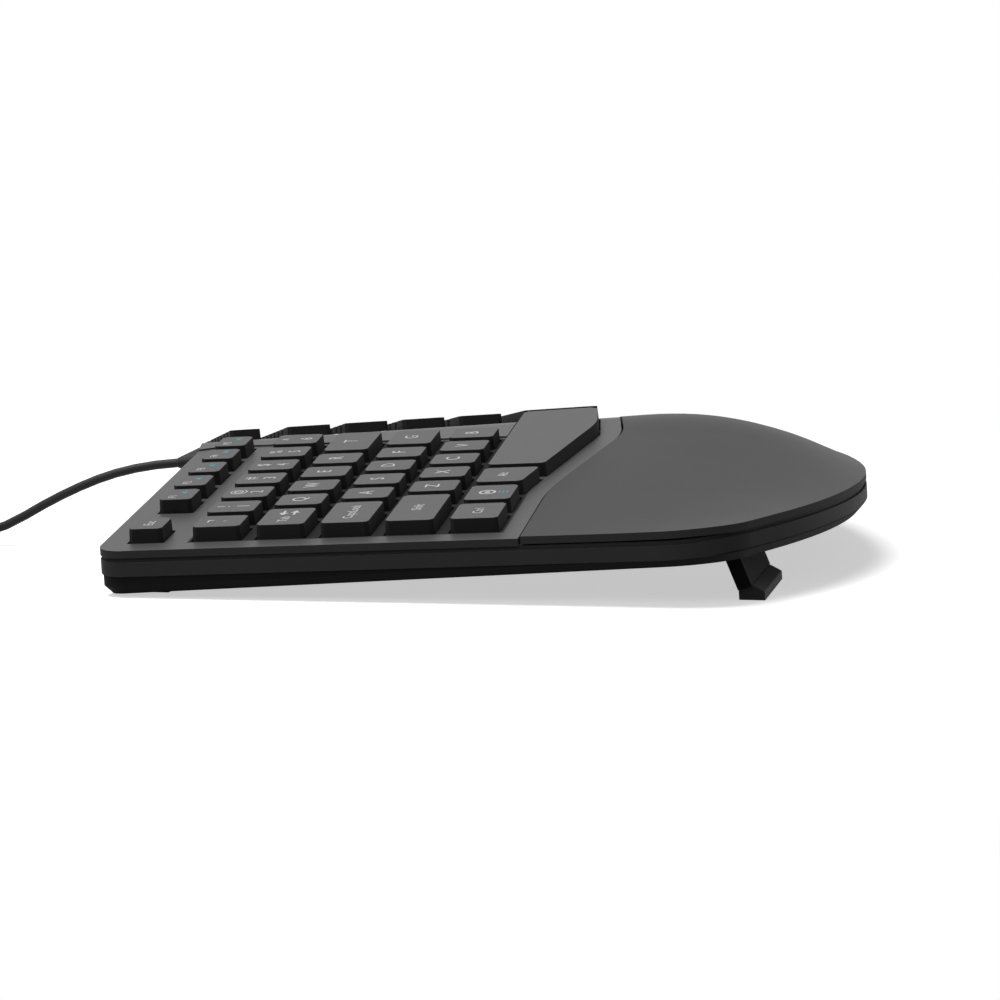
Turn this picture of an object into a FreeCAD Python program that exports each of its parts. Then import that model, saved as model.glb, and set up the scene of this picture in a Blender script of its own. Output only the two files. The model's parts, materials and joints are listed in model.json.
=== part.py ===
import FreeCAD, Part
import json
import math
import os
from FreeCAD import Placement, Rotation, Vector

# Ergonomic keyboard with two tented halves, a palm rest and two fold-out front legs
# Body frame: X to the user's right, Y to the rear, Z up, the ridge of the tent along Y at X = 0,
# the underside of the case at Z = 0. A half has its own frame on the cover's top face: across the
# rows (x), to the rear (y) and along the key stroke (z), with its origin on the ridge.

doc = FreeCAD.newDocument("ergonomic_keyboard")

# Driving dimensions, millimetres and degrees
SIZES = [
    ("key_pitch", 19.05, "distance between neighbouring keys, both ways"),
    ("key_gap", 4.45, "space between two neighbouring caps"),
    ("key_rise", 4.2, "cap top above the cover"),
    ("key_skirt", 0.8, "cap skirt below the cover's top face"),
    ("key_travel", 2.5, "stroke of a key"),
    ("function_depth", 10.4, "front to rear of a function key"),
    ("cap_wall", 1.2, "wall of a cap"),
    ("cap_roof", 1.2, "roof of a cap"),
    ("cap_corner", 1.3, "corner cut of a cap"),
    ("cap_taper", 3.0, "slope of the sides of a cap"),
    ("stem_side", 5.0, "side of the square stem"),
    ("stem_reach", 5.3, "stem end below the cover's top face"),
    ("well_clearance", 0.45, "space round a cap in its well"),
    ("well_depth", 3.8, "well floor below the cover's top face"),
    ("guide_clearance", 0.2, "space round a stem in its guide hole"),
    ("row_angle", 8.33, "turn of the rows of each half in plan"),
    ("tilt_left", 7.4, "tent angle of the left half"),
    ("tilt_right", 5.2, "tent angle of the right half"),
    ("ridge_height", 31.8, "ridge of the cover above the underside"),
    ("ridge_radius", 30.0, "rounding of the ridge"),
    ("inner_left", 14.2, "ridge to the inner key edge, left half"),
    ("inner_right", 12.6, "ridge to the inner key edge, right half"),
    ("units_left", 7.0, "width of the left half in key pitches"),
    ("units_right", 10.5, "width of the right half in key pitches"),
    ("space_offset", 1.9, "ridge to the inner edge of a space bar"),
    ("margin_side", 8.0, "outer keys to the side edge"),
    ("margin_rear", 8.2, "function keys to the rear edge"),
    ("front_reach", 185.7, "ridge origin to the front edge"),
    ("front_radius_left", 290.0, "curve of the front edge, left"),
    ("front_radius_right", 480.0, "curve of the front edge, right"),
    ("front_angle_left", 29.0, "slope of the front edge where the left corner starts"),
    ("front_angle_right", 24.0, "slope of the front edge where the right corner starts"),
    ("corner_front", 26.0, "front corner radius in plan"),
    ("corner_rear", 8.0, "rear corner radius in plan"),
    ("notch_radius", 60.0, "radius where the two rear edges meet"),
    ("rim_height", 10.6, "front edge of the palm rest above the underside"),
    ("palm_length", 66.0, "length over which the palm rest falls to the front edge"),
    ("palm_raise", 0.6, "palm rest above the plane of the keys' cover"),
    ("palm_ridge", 8.0, "softness of the palm rest's ridge"),
    ("crease_gap", 0.7, "groove between cover and palm rest"),
    ("cover_thickness", 2.2, "cover and palm rest"),
    ("slab_depth", 5.0, "cover with its wells"),
    ("band_top", 3.4, "band's upper edge below the cover's edge"),
    ("band_bottom", 7.6, "band's lower edge below the cover's edge"),
    ("band_wall", 2.4, "wall of the band"),
    ("seam_inset", 0.9, "how far the seam lies behind the outer face"),
    ("case_inset", 0.5, "bottom case behind the band's face"),
    ("case_wall", 2.4, "wall of the bottom case"),
    ("case_floor", 1.2, "floor of the bottom case"),
    ("case_chamfer", 2.4, "bevel round the underside"),
    ("arch_drop", 11.3, "ceiling of the arch below the cover's top face"),
    ("stack_floor", 9.8, "underside of the support plates below the cover's top face"),
    ("plate_thickness", 0.8, "steel support plate"),
    ("membrane_thickness", 0.4, "circuit membrane"),
    ("dome_sheet", 0.6, "web of the dome sheet"),
    ("dome_height", 2.4, "dome above its web"),
    ("pitch_angle", 3.85, "body's slope when it stands on the legs"),
    ("leg_width", 60.0, "width of a leg"),
    ("leg_thickness", 4.2, "thickness of a leg"),
    ("leg_length", 13.6, "hinge to the end of a leg"),
    ("leg_lean", 19.0, "forward lean of a leg"),
    ("leg_fold", 109.0, "swing of a leg from out to folded"),
    ("leg_inboard", 53.0, "side edge to the middle of a leg"),
    ("leg_row", 154.2, "leg hinge in front of the number row"),
    ("leg_hinge_height", 3.2, "leg hinge above the underside"),
    ("cord_diameter", 3.0, "cord"),
    ("coil_radius", 21.6, "outermost turn of the coil"),
    ("coil_halfturns", 6.0, "half turns in each layer of the coil"),
]
sheet = doc.addObject("Spreadsheet::Sheet", "Sizes")
for number, (alias, value, note) in enumerate(SIZES, start=1):
    sheet.set("A%d" % number, note)
    sheet.set("B%d" % number, str(value))
    sheet.setAlias("B%d" % number, alias)
doc.recompute()


def size(alias):
    return float(sheet.get(alias))


PITCH = size("key_pitch")
GAP = size("key_gap")
THETA = math.radians(size("row_angle"))
RIDGE = size("ridge_height")
RIM = size("rim_height")
FRONT = size("front_reach")
STEM_SIDE = size("stem_side")
CORD = size("cord_diameter")
SIDES = {"left": -1, "right": 1}
INNER = {"left": size("inner_left"), "right": size("inner_right")}
UNITS = {"left": size("units_left"), "right": size("units_right")}
OUTER = {half: INNER[half] + UNITS[half] * PITCH - GAP for half in SIDES}
TILT = {"left": math.radians(size("tilt_left")), "right": math.radians(size("tilt_right"))}
KEY_SIDE = PITCH - GAP

# Rows by their distance in front of the number row, in key pitches
FUNCTION, NUMBER, UPPER, HOME, LOWER, BOTTOM = range(-1, 5)


def row_rear(row):
    return row * PITCH


# Plan geometry of one half: w outward from the ridge along the rows, v to the front across them

def plan(half, w, v, z=0.0):
    side = SIDES[half]
    x = side * (w * math.cos(THETA) + v * math.sin(THETA))
    y = w * math.sin(THETA) - v * math.cos(THETA)
    return Vector(x, y, z)


def half_placement(half):
    side = SIDES[half]
    tilt = Rotation(Vector(0, 1, 0), side * math.degrees(TILT[half]))
    turn = Rotation(Vector(0, 0, 1), side * math.degrees(THETA))
    return Placement(Vector(0, 0, RIDGE), tilt.multiply(turn))


def local(half, w, v, z=0.0):
    return Vector(SIDES[half] * w, -v, z)


def roof_height(x, drop=0.0):
    tilt = TILT["left"] if x < 0 else TILT["right"]
    return RIDGE - drop - abs(x) * math.tan(tilt)


# Outlines with rounded corners

def rounded(points, radii):
    """Lines and arcs of a closed outline; radii is one value or one per corner."""
    count = len(points)
    if not hasattr(radii, "__len__"):
        radii = [radii] * count
    corners = []
    for i, point in enumerate(points):
        back = (points[i - 1] - point).normalize()
        ahead = (points[(i + 1) % count] - point).normalize()
        if radii[i] <= 0:
            corners.append((point, None, point))
            continue
        half_angle = back.getAngle(ahead) / 2
        reach = radii[i] / math.tan(half_angle)
        bisector = (back + ahead).normalize()
        middle = point + bisector * (radii[i] / math.sin(half_angle) - radii[i])
        corners.append((point + back * reach, middle, point + ahead * reach))
    pieces = []
    for i, (start, middle, end) in enumerate(corners):
        if middle is not None:
            pieces.append(Part.Arc(start, middle, end))
        following = corners[(i + 1) % count][0]
        if end.distanceToPoint(following) > 1e-6:
            pieces.append(Part.LineSegment(end, following))
    return pieces


def outline_with_cuts(points, sizes):
    """A closed outline with its corners cut off; a corner larger than LARGEST_CUT becomes an arc."""
    corners, radii = [], []
    count = len(points)
    for i, point in enumerate(points):
        if sizes[i] > LARGEST_CUT:
            corners.append(point)
            radii.append(sizes[i])
            continue
        for neighbour in (points[i - 1], points[(i + 1) % count]):
            corners.append(point + (neighbour - point).normalize() * sizes[i])
            radii.append(0.0)
    return rounded(corners, radii)


LARGEST_CUT = 5.0


def face_of(points, radii=0.0):
    wire = Part.Wire([piece.toShape() for piece in rounded(points, radii)])
    return Part.Face(wire)


def grown(points, distance):
    """A polygon with every side moved outward; a negative distance moves them inward."""
    count = len(points)
    area = sum(points[i].x * points[(i + 1) % count].y - points[(i + 1) % count].x * points[i].y
               for i in range(count))
    turn = 1 if area > 0 else -1
    lines = []
    for i in range(count):
        along = (points[(i + 1) % count] - points[i]).normalize()
        outward = Vector(along.y, -along.x, 0) * turn
        lines.append((points[i] + outward * distance, along))
    result = []
    for i in range(count):
        start, first = lines[i - 1]
        other, second = lines[i]
        cross = first.x * second.y - first.y * second.x
        gap = other - start
        reach = (gap.x * second.y - gap.y * second.x) / cross
        result.append(start + first * reach)
    return result


def prism(face, low, high):
    lowered = face.copy()
    lowered.translate(Vector(0, 0, low))
    return lowered.extrude(Vector(0, 0, high - low))


# Outline of the whole body in plan

def body_corners():
    side_left = OUTER["left"] + size("margin_side")
    side_right = OUTER["right"] + size("margin_side")
    rear = row_rear(FUNCTION) - size("margin_rear")
    corners = [
        (plan("left", side_left, rear), size("corner_rear")),
        (Vector(0, -rear / math.cos(THETA), 0), size("notch_radius")),
        (plan("right", side_right, rear), size("corner_rear")),
    ]
    for half, edge in (("right", side_right), ("left", side_left)):
        side = SIDES[half]
        radius = size("front_radius_" + half)
        steepest = math.radians(size("front_angle_" + half))
        centre = Vector(0, radius - FRONT, 0)
        touch = centre + Vector(side * math.sin(steepest), -math.cos(steepest), 0) * radius
        slope = Vector(side * math.cos(steepest), math.sin(steepest), 0)
        outward = Vector(side * math.cos(THETA), math.sin(THETA), 0)
        reach = (edge - touch.dot(outward)) / slope.dot(outward)
        row = [(touch + slope * reach, size("corner_front"))]
        for share in (0.75, 0.25):
            angle = steepest * share
            distance = radius / math.cos(steepest / 4)
            spot = centre + Vector(side * math.sin(angle), -math.cos(angle), 0) * distance
            row.append((spot, radius * 0.98))
        corners += row if half == "right" else row[::-1]
    return corners


def body_face(inset=0.0):
    corners = body_corners()
    face = face_of([point for point, _ in corners], [radius for _, radius in corners])
    if inset:
        face = Part.Face(face.OuterWire.makeOffset2D(-inset))
    return face


def front_edge(x):
    radius = size("front_radius_left") if x < 0 else size("front_radius_right")
    return radius - FRONT - math.sqrt(radius * radius - x * x)


# Zone behind the crease between cover and palm rest

CREASE_STRAIGHT = (90.0, 97.2)
CREASE_INNER_W = 12.0
CREASE_CENTRE = 107.7
CREASE_RADII = (150.0, 60.0)
FAR = 400.0


def crease_corners():
    w_bend, v_bend = CREASE_STRAIGHT
    corners = []
    for half in ("left", "right"):
        bend = plan(half, w_bend, v_bend)
        far = plan(half, FAR, v_bend)
        inner = Vector(plan(half, CREASE_INNER_W, CREASE_CENTRE).x, -CREASE_CENTRE, 0)
        row = [(far, 0.0), (bend, CREASE_RADII[0]), (inner, CREASE_RADII[1])]
        corners += row if half == "left" else row[::-1]
    return corners + [(Vector(FAR, FAR, 0), 0.0), (Vector(-FAR, FAR, 0), 0.0)]


def crease_face(forward=0.0):
    corners = crease_corners()
    face = face_of([point for point, _ in corners], [radius for _, radius in corners])
    if forward:
        face.translate(Vector(0, -forward, 0))
    return face


# Solids under the tented planes

LOW = -60.0


def extruded_profile(points, radii, direction):
    """A profile drawn in XZ or YZ, swept square to its plane."""
    return face_of(points, radii).extrude(direction)


def under_roof(drop):
    left = Vector(-FAR, -FAR, roof_height(-FAR, drop))
    right = Vector(FAR, -FAR, roof_height(FAR, drop))
    ridge = Vector(0, -FAR, RIDGE - drop)
    points = [Vector(-FAR, -FAR, LOW), Vector(FAR, -FAR, LOW), right, ridge, left]
    return extruded_profile(points, [0, 0, 0, size("ridge_radius"), 0], Vector(0, 2 * FAR, 0))


RIM_ZONE = -118.0


def under_rim(drop):
    """Below the cover's edge all round: the tented planes, and the level rim at the front."""
    front = Part.makeBox(2 * FAR, FAR, FAR, Vector(-FAR, RIM_ZONE - FAR, RIM - drop))
    return under_roof(drop).cut(front)


# Palm rest surface

def palm_height(x, y):
    left, right = math.tan(TILT["left"]), math.tan(TILT["right"])
    soft = math.hypot(x, size("palm_ridge"))
    plane = RIDGE + size("palm_raise") - (left + right) / 2 * soft - (right - left) / 2 * x
    along = min(1.0, max(0.0, (y - front_edge(x)) / size("palm_length")))
    return plane - (plane - RIM) * (1.0 - along) ** 2


PALM_COLUMNS = 23
PALM_ROWS = 13
PALM_SPAN = (-190.0, 250.0)
PALM_REAR = -50.0


def palm_surface():
    """A smooth surface through a net of heights; the net's rows follow the front edge."""
    low, high = PALM_SPAN
    net = []
    for i in range(PALM_COLUMNS):
        x = low + (high - low) * i / (PALM_COLUMNS - 1)
        start = front_edge(x) - size("palm_length") / 8
        row = []
        for j in range(PALM_ROWS):
            y = start + (PALM_REAR - start) * j / (PALM_ROWS - 1)
            row.append(Vector(x, y, palm_height(x, y)))
        net.append(row)
    surface = Part.BSplineSurface()
    surface.interpolate(net)
    return surface.toShape()


def under_palm(drop=0.0):
    face = palm_surface()
    face.translate(Vector(0, 0, -drop))
    return face.extrude(Vector(0, 0, LOW))


# Keys: node name and width in key pitches, left rows from the outer edge inward,
# right rows from the inner edge outward; an empty name leaves a gap

LEFT_ROWS = {
    FUNCTION: [("key_escape", 1), ("", 1)] + [("keys_function_left", 1)] * 5,
    NUMBER: [("keys_number_left", 1)] * 7,
    UPPER: [("key_tab", 1.345)] + [("keys_upper_left", 1)] * 4 + [("keys_upper_left", 1.655)],
    HOME: [("key_caps_lock", 1.655)] + [("keys_home_left", 1)] * 4 + [("keys_home_left", 1.345)],
    LOWER: [("key_shift_left", 2)] + [("keys_lower_left", 1)] * 5,
    BOTTOM: [("key_control_left", 1.27), ("key_system_left", 1.25), ("key_alt_left", 1.27)],
}
RIGHT_ROWS = {
    FUNCTION: [("keys_function_right", 1)] * 7 + [("", 0.5)] + [("keys_function_end", 1)] * 3,
    NUMBER: [("keys_number_right", 1.5)] + [("keys_number_right", 1)] * 5
            + [("key_backspace", 2), ("", 1), ("keys_navigation_outer", 1)],
    UPPER: [("keys_upper_right", 1)] * 7 + [("", 2.5), ("keys_navigation_outer", 1)],
    HOME: [("keys_home_right", 1.33)] + [("keys_home_right", 1)] * 6
          + [("", 1.17), ("key_navigation_inner", 1), ("keys_navigation_outer", 1)],
    LOWER: [("keys_lower_right", 1.85)] + [("keys_lower_right", 1)] * 4
           + [("key_shift_right", 2.65), ("key_arrow_up", 1), ("keys_navigation_outer", 1)],
    BOTTOM: [("", 2.5), ("key_alt_right", 1.25), ("keys_system_right", 1.25), ("keys_system_right", 1.25),
             ("key_control_right", 1.25), ("key_arrow_left", 1), ("key_arrow_down", 1),
             ("key_arrow_right", 1)],
}

# Front line of the bottom row: straight, then in one slope to the middle
FRONT_BEND = (94.0, 90.6)
FRONT_INNER = (12.0, 103.2)
FRONT_CENTRE = 101.2
SPACE_BEND_RADIUS = 55.0
SPACE_CORNER = 2.4


def front_line(w):
    (w_bend, v_bend), (w_inner, v_inner) = FRONT_BEND, FRONT_INNER
    slope = (v_inner - v_bend) / (w_bend - w_inner)
    return v_bend + max(0.0, w_bend - w) * slope


def key_corners(half, w_in, w_out, row):
    rear = row_rear(row)
    if row == FUNCTION:
        front_in = front_out = rear + size("function_depth")
    elif row == BOTTOM:
        front_in, front_out = front_line(w_in), front_line(w_out)
    else:
        front_in = front_out = rear + KEY_SIDE
    return [local(half, w_in, rear), local(half, w_out, rear),
            local(half, w_out, front_out), local(half, w_in, front_in)]


def space_corners(half, w_out):
    def inner_w(v):
        return (size("space_offset") - v * math.sin(THETA)) / math.cos(THETA)
    rear = row_rear(BOTTOM)
    front = (FRONT_CENTRE - size("space_offset") * math.tan(THETA) * math.sin(THETA)) * math.cos(THETA)
    points = [local(half, inner_w(rear), rear), local(half, w_out, rear),
              local(half, w_out, front_line(w_out)), local(half, *FRONT_INNER),
              local(half, inner_w(front), front)]
    corner = size("cap_corner")
    return points, [corner, corner, corner, SPACE_BEND_RADIUS, SPACE_CORNER]


class Key:
    """One cap: its node, half, outline and the place of its stem."""

    def __init__(self, node, half, points, corners=None, stem=None):
        self.node = node
        self.half = half
        self.points = points
        self.corners = corners or [size("cap_corner")] * len(points)
        self.stem = stem or sum(points, Vector()) * (1.0 / len(points))


def lay_out_keys():
    keys = []
    for row, entries in LEFT_ROWS.items():
        edge = OUTER["left"]
        for node, units in entries:
            if node:
                corners = key_corners("left", edge - units * PITCH + GAP, edge, row)
                keys.append(Key(node, "left", corners))
            edge -= units * PITCH
        if row == BOTTOM:
            points, radii = space_corners("left", edge)
            stem = local("left", edge / 2, row_rear(row) + KEY_SIDE * 0.7)
            keys.append(Key("key_space_left", "left", points, radii, stem))
    for row, entries in RIGHT_ROWS.items():
        edge = INNER["right"]
        for node, units in entries:
            if node:
                corners = key_corners("right", edge, edge + units * PITCH - GAP, row)
                keys.append(Key(node, "right", corners))
            edge += units * PITCH
            if row == BOTTOM and not node:
                points, radii = space_corners("right", edge - GAP)
                stem = local("right", edge / 2, row_rear(row) + KEY_SIDE * 0.7)
                keys.append(Key("key_space_right", "right", points, radii, stem))
    keys.append(enter_key())
    keys.append(tall_key())
    return keys


def enter_key():
    start = INNER["right"]
    outer = start + 8.5 * PITCH - GAP
    wide, narrow = start + 7.0 * PITCH, start + 7.33 * PITCH
    rear, step = row_rear(UPPER), row_rear(UPPER) + KEY_SIDE
    front = row_rear(HOME) + KEY_SIDE
    outline = [(wide, rear), (outer, rear), (outer, front), (narrow, front), (narrow, step), (wide, step)]
    points = [local("right", w, v) for w, v in outline]
    radii = [size("cap_corner")] * 4 + [0.8, size("cap_corner")]
    return Key("key_enter", "right", points, radii, local("right", (narrow + outer) / 2, (rear + front) / 2))


def tall_key():
    inner = INNER["right"] + 8.5 * PITCH
    outer = inner + KEY_SIDE
    rear, front = row_rear(NUMBER), row_rear(UPPER) + KEY_SIDE
    outline = [(inner, rear), (outer, rear), (outer, front), (inner, front)]
    return Key("key_delete_tall", "right", [local("right", w, v) for w, v in outline])


KEYS = lay_out_keys()


def square(centre, side):
    s = side / 2
    return [centre + Vector(a, b, 0) for a, b in ((-s, -s), (s, -s), (s, s), (-s, s))]


# Objects of the document

NODES = {}


def own_plane(body, role="XY_Plane"):
    return [feature for feature in body.Origin.OriginFeatures if feature.Role == role][0]


def new_body(label, placement=None):
    body = doc.addObject("PartDesign::Body", label)
    body.Label = label
    NODES[label] = (body, placement or Placement())
    return body


def new_sketch(body, name, outlines, offset=0.0, role="XY_Plane"):
    sketch = body.newObject("Sketcher::SketchObject", name)
    sketch.AttachmentSupport = [(own_plane(body, role), "")]
    sketch.MapMode = "FlatFace"
    sketch.AttachmentOffset = Placement(Vector(0, 0, offset), Rotation())
    for outline in outlines:
        sketch.addGeometry(outline, False)
    return sketch


def add_feature(label, shape, placement=None):
    feature = doc.addObject("Part::Feature", label)
    feature.Label = label
    feature.Shape = shape
    NODES[label] = (feature, placement or Placement())
    return feature


def one_solid(shape):
    cleaned = shape.removeSplitter()
    return cleaned.Solids[0] if len(cleaned.Solids) == 1 else cleaned


def polygon(points):
    count = len(points)
    return [Part.LineSegment(points[i], points[(i + 1) % count]) for i in range(count)]


# Key caps

def make_keys():
    """One body for each key node: tapered caps, hollow below, each with a square stem."""
    groups = {}
    for key in KEYS:
        groups.setdefault(key.node, []).append(key)
    for node, members in groups.items():
        body = new_body(node, half_placement(members[0].half))
        outline = new_sketch(body, node + "_outline", [outline_with_cuts(key.points, key.corners) for key in members])
        outline.setExpression(".AttachmentOffset.Base.z", "-Sizes.key_skirt")
        cap = body.newObject("PartDesign::Pad", node + "_cap")
        cap.Profile = outline
        cap.setExpression("Length", "Sizes.key_rise + Sizes.key_skirt")
        cap.setExpression("TaperAngle", "-Sizes.cap_taper")
        inner = [polygon(grown(key.points, -size("cap_wall"))) for key in members]
        hollow = new_sketch(body, node + "_hollow", inner)
        hollow.setExpression(".AttachmentOffset.Base.z", "-Sizes.key_skirt")
        pocket = body.newObject("PartDesign::Pocket", node + "_inside")
        pocket.Profile = hollow
        pocket.Reversed = True
        pocket.setExpression("Length", "Sizes.key_rise + Sizes.key_skirt - Sizes.cap_roof")
        stems = new_sketch(body, node + "_stem_square", [polygon(square(key.stem, STEM_SIDE)) for key in members])
        stems.setExpression(".AttachmentOffset.Base.z", "-Sizes.stem_reach")
        stem = body.newObject("PartDesign::Pad", node + "_stem")
        stem.Profile = stems
        stem.setExpression("Length", "Sizes.stem_reach + Sizes.key_rise - Sizes.cap_roof / 2")


# Cover, centre plate, palm rest and band

def well_cutters():
    """For every key its well and the guide hole in the floor of the well."""
    cutters = []
    for key in KEYS:
        outline = face_of(grown(key.points, size("well_clearance")))
        well = prism(outline, -size("well_depth"), size("key_rise"))
        guide_side = STEM_SIDE + 2 * size("guide_clearance")
        guide = prism(face_of(square(key.stem, guide_side)), -2 * size("slab_depth"), 0)
        placement = half_placement(key.half)
        for cutter in (well, guide):
            cutter.Placement = placement
            cutters.append(cutter)
    return cutters


PLATE_INSET = 3.4
PLATE_FRONT = 73.2
PLATE_REAR = 22.0
PLATE_FLARE = 2.6
PLATE_RAISE = 0.5
PLATE_SINK = 1.4
LENS_DIAMETER = 2.2
LENS_PLACES = (0.0, -15.3, -30.6)


def plate_corners():
    """Centre plate: narrow and flared at the rear, wide and pointed at the front."""
    left, right = [], []
    for half, row in (("left", left), ("right", right)):
        edge = INNER[half] - PLATE_INSET
        row.append(plan(half, edge, PLATE_FRONT))
        narrow = plan(half, edge, -PLATE_REAR + 2)
        row.append(narrow)
        row.append(Vector(narrow.x + SIDES[half] * PLATE_FLARE, narrow.y + 3 * PLATE_FLARE, 0))
    apex = Vector(0, -PLATE_FRONT / math.cos(THETA), 0)
    return [apex] + right + left[::-1]


def plate_face(growth=0.0):
    points = plate_corners()
    if growth:
        points = grown(points, growth)
    return face_of(points)


def make_cover():
    zone = prism(crease_face(), LOW, FAR)
    plate = prism(body_face(), LOW, FAR).common(zone).common(under_roof(0)).cut(
        under_roof(size("cover_thickness")))
    inner = prism(body_face(size("band_wall") + 0.6), LOW, FAR)
    slab = inner.common(zone).common(under_roof(0)).cut(under_roof(size("slab_depth")))
    cover = plate.fuse(slab)
    seat = prism(plate_face(0.1), LOW, FAR).cut(under_roof(PLATE_SINK))
    cover = cover.cut(seat)
    cover = cover.cut(Part.makeCompound(well_cutters()))
    cover = cover.cut(Part.makeCompound(lens_cutters(LENS_DIAMETER + 0.2)))
    inner_end = -size("band_wall") - GROMMET_INNER - 0.5
    cover = cover.cut(grommet_bore(GROMMET_FLANGE + 0.8, inner_end, inner_end + 2.0))
    add_feature("top_cover", one_solid(cover.cut(screw_holes(2.6))))


def lens_cutters(diameter):
    return [Part.makeCylinder(diameter / 2, FAR, Vector(0, y, 0)) for y in LENS_PLACES]


def make_plate():
    raised = prism(plate_face(), LOW, FAR).common(under_roof(-PLATE_RAISE))
    plate = raised.cut(under_roof(PLATE_SINK)).cut(Part.makeCompound(lens_cutters(LENS_DIAMETER)))
    add_feature("centre_plate", one_solid(plate))
    top, foot = RIDGE + PLATE_RAISE - 0.1, RIDGE - size("slab_depth") - 1.2
    lenses = []
    for y in LENS_PLACES:
        light_pipe = Part.makeCylinder(LENS_DIAMETER / 2 - 0.05, top - foot, Vector(0, y, foot))
        collar = Part.makeCylinder(LENS_DIAMETER, 0.8, Vector(0, y, foot))
        lenses.append(light_pipe.fuse(collar).removeSplitter())
    add_feature("indicator_lenses", Part.makeCompound(lenses))


def make_palm_rest():
    behind = prism(crease_face(size("crease_gap")), LOW, FAR)
    region = prism(body_face(), LOW, FAR).cut(behind)
    shell = region.common(under_palm()).cut(under_palm(size("cover_thickness")))
    bosses = []
    for x, y in PALM_SCREWS:
        post = Part.makeCylinder(3.6, FAR, Vector(x, y, BOSS_SPLIT))
        bosses.append(post.common(under_palm(size("cover_thickness") / 2)))
    shell = shell.multiFuse(bosses).cut(screw_holes(2.6))
    add_feature("palm_rest", one_solid(shell))


GROMMET_NECK = 3.2
GROMMET_FLANGE = 4.2
GROMMET_TAIL = 9.0
GROMMET_INNER = 1.7


def grommet_place():
    """The middle of the rear wall, on its outer face and half way up the band."""
    vertex = (size("margin_rear") - row_rear(FUNCTION)) / math.cos(THETA)
    wall = vertex + size("notch_radius") * (1 / math.cos(THETA) - 1)
    return Vector(0, wall, RIDGE - (size("band_top") + size("band_bottom")) / 2)


def grommet_bore(diameter, low=-20.0, high=20.0):
    place = grommet_place() + Vector(0, low, 0)
    return Part.makeCylinder(diameter / 2, high - low, place, Vector(0, 1, 0))


def ring(outer_inset, inner_inset, top_drop, bottom_drop):
    wall = prism(body_face(outer_inset), LOW, FAR).cut(prism(body_face(inner_inset), LOW, FAR))
    return wall.common(under_rim(top_drop)).cut(under_rim(bottom_drop))


def make_band():
    wall = size("band_wall")
    band = ring(0.0, wall, size("band_top"), size("band_bottom"))
    lip = ring(size("seam_inset"), wall, size("cover_thickness"), size("band_top") + 0.1)
    add_feature("side_band", one_solid(band.fuse(lip).cut(grommet_bore(GROMMET_NECK + 0.1))))


# Bottom case

ARCH_LEFT = (-94.0, -78.0)
ARCH_RIGHT = (142.0, 158.0)
ARCH_FRONT = (-112.0, -62.0)
BOSS_RADIUS = 3.6
BOSS_SPLIT = 6.0
SCREW_PLACES = [("left", 126.3, -4.3), ("left", 50.1, -4.3), ("left", 126.3, 73.9), ("left", 50.1, 73.9),
                ("right", 34.0, -4.3), ("right", 115.1, -4.3), ("right", 172.3, -4.3),
                ("right", 115.1, 73.9), ("right", 172.3, 73.9)]
PALM_SCREWS = [(-75.0, -140.0), (0.0, -135.0), (85.0, -140.0), (205.0, -96.0), (-150.0, -98.0)]
SCREW_HEAD = 5.6
SCREW_SHANK = 2.6


def arch(growth=0.0):
    """The tunnel under the middle: level with the tented planes, with a sloping front end."""
    drop = size("arch_drop") - growth
    bottom = -20.0
    profile = []
    for (foot, spring) in (ARCH_LEFT, ARCH_RIGHT[::-1]):
        side = -1 if foot < 0 else 1
        spring_x = spring + side * growth
        foot_x = foot + side * growth
        row = [Vector(foot_x, -FAR, bottom), Vector(foot_x, -FAR, 0.0),
               Vector(spring_x, -FAR, roof_height(spring_x, drop))]
        profile += row if side < 0 else row[::-1]
    profile.insert(3, Vector(0, -FAR, RIDGE - drop))
    tunnel = extruded_profile(profile, 0.0, Vector(0, 2 * FAR, 0))
    front, full = ARCH_FRONT
    ceiling = RIDGE - size("arch_drop")
    slope = ceiling / (full - front)
    def end_line(z):
        return front + (z - growth) / slope
    side_view = [Vector(-FAR, FAR, bottom), Vector(-FAR, FAR, 80.0), Vector(-FAR, end_line(80.0), 80.0),
                 Vector(-FAR, end_line(bottom), bottom)]
    return tunnel.common(extruded_profile(side_view, 0.0, Vector(2 * FAR, 0, 0)))


def screw_seats():
    """Every screw: its place, the underside there, and the height its tip reaches."""
    seats = []
    for half, w, v in SCREW_PLACES:
        spot = plan(half, w, v)
        roof = roof_height(spot.x)
        inside = ARCH_LEFT[0] < spot.x < ARCH_RIGHT[1]
        under = max(0.0, roof - size("arch_drop")) if inside else 0.0
        seats.append((spot.x, spot.y, under, roof - 1.6))
    for x, y in PALM_SCREWS:
        seats.append((x, y, 0.0, min(palm_height(x, y) - size("cover_thickness"), BOSS_SPLIT + 7.0)))
    return seats


def screw_holes(diameter):
    return Part.makeCompound([Part.makeCylinder(diameter / 2, tip - under + 4, Vector(x, y, under - 4))
                              for x, y, under, tip in screw_seats()])


def leg_centre(half):
    w = OUTER[half] + size("margin_side") - size("leg_inboard")
    return plan(half, w, size("leg_row"), size("leg_hinge_height"))


def leg_placement(half):
    """Turned in plan with its half; the hinge line is level when the object stands."""
    turn = Rotation(Vector(0, 0, 1), SIDES[half] * math.degrees(THETA))
    pitch = Rotation(Vector(1, 0, 0), size("pitch_angle"))
    return Placement(leg_centre(half), pitch.multiply(turn).multiply(pitch.inverted()))


LEG_BARREL = 2.3
RECESS_SLACK = 0.6


def leg_recess(half, growth=0.0):
    width = size("leg_width") + 2 * RECESS_SLACK + 2 * growth
    front = LEG_BARREL + RECESS_SLACK + 1.6 + growth
    rear = size("leg_length") + LEG_BARREL + 3.4 + growth
    top = LEG_BARREL + RECESS_SLACK + growth
    box = Part.makeBox(width, front + rear, 20.0 + top, Vector(-width / 2, -front, -20.0))
    box.Placement = leg_placement(half)
    return box


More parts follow.
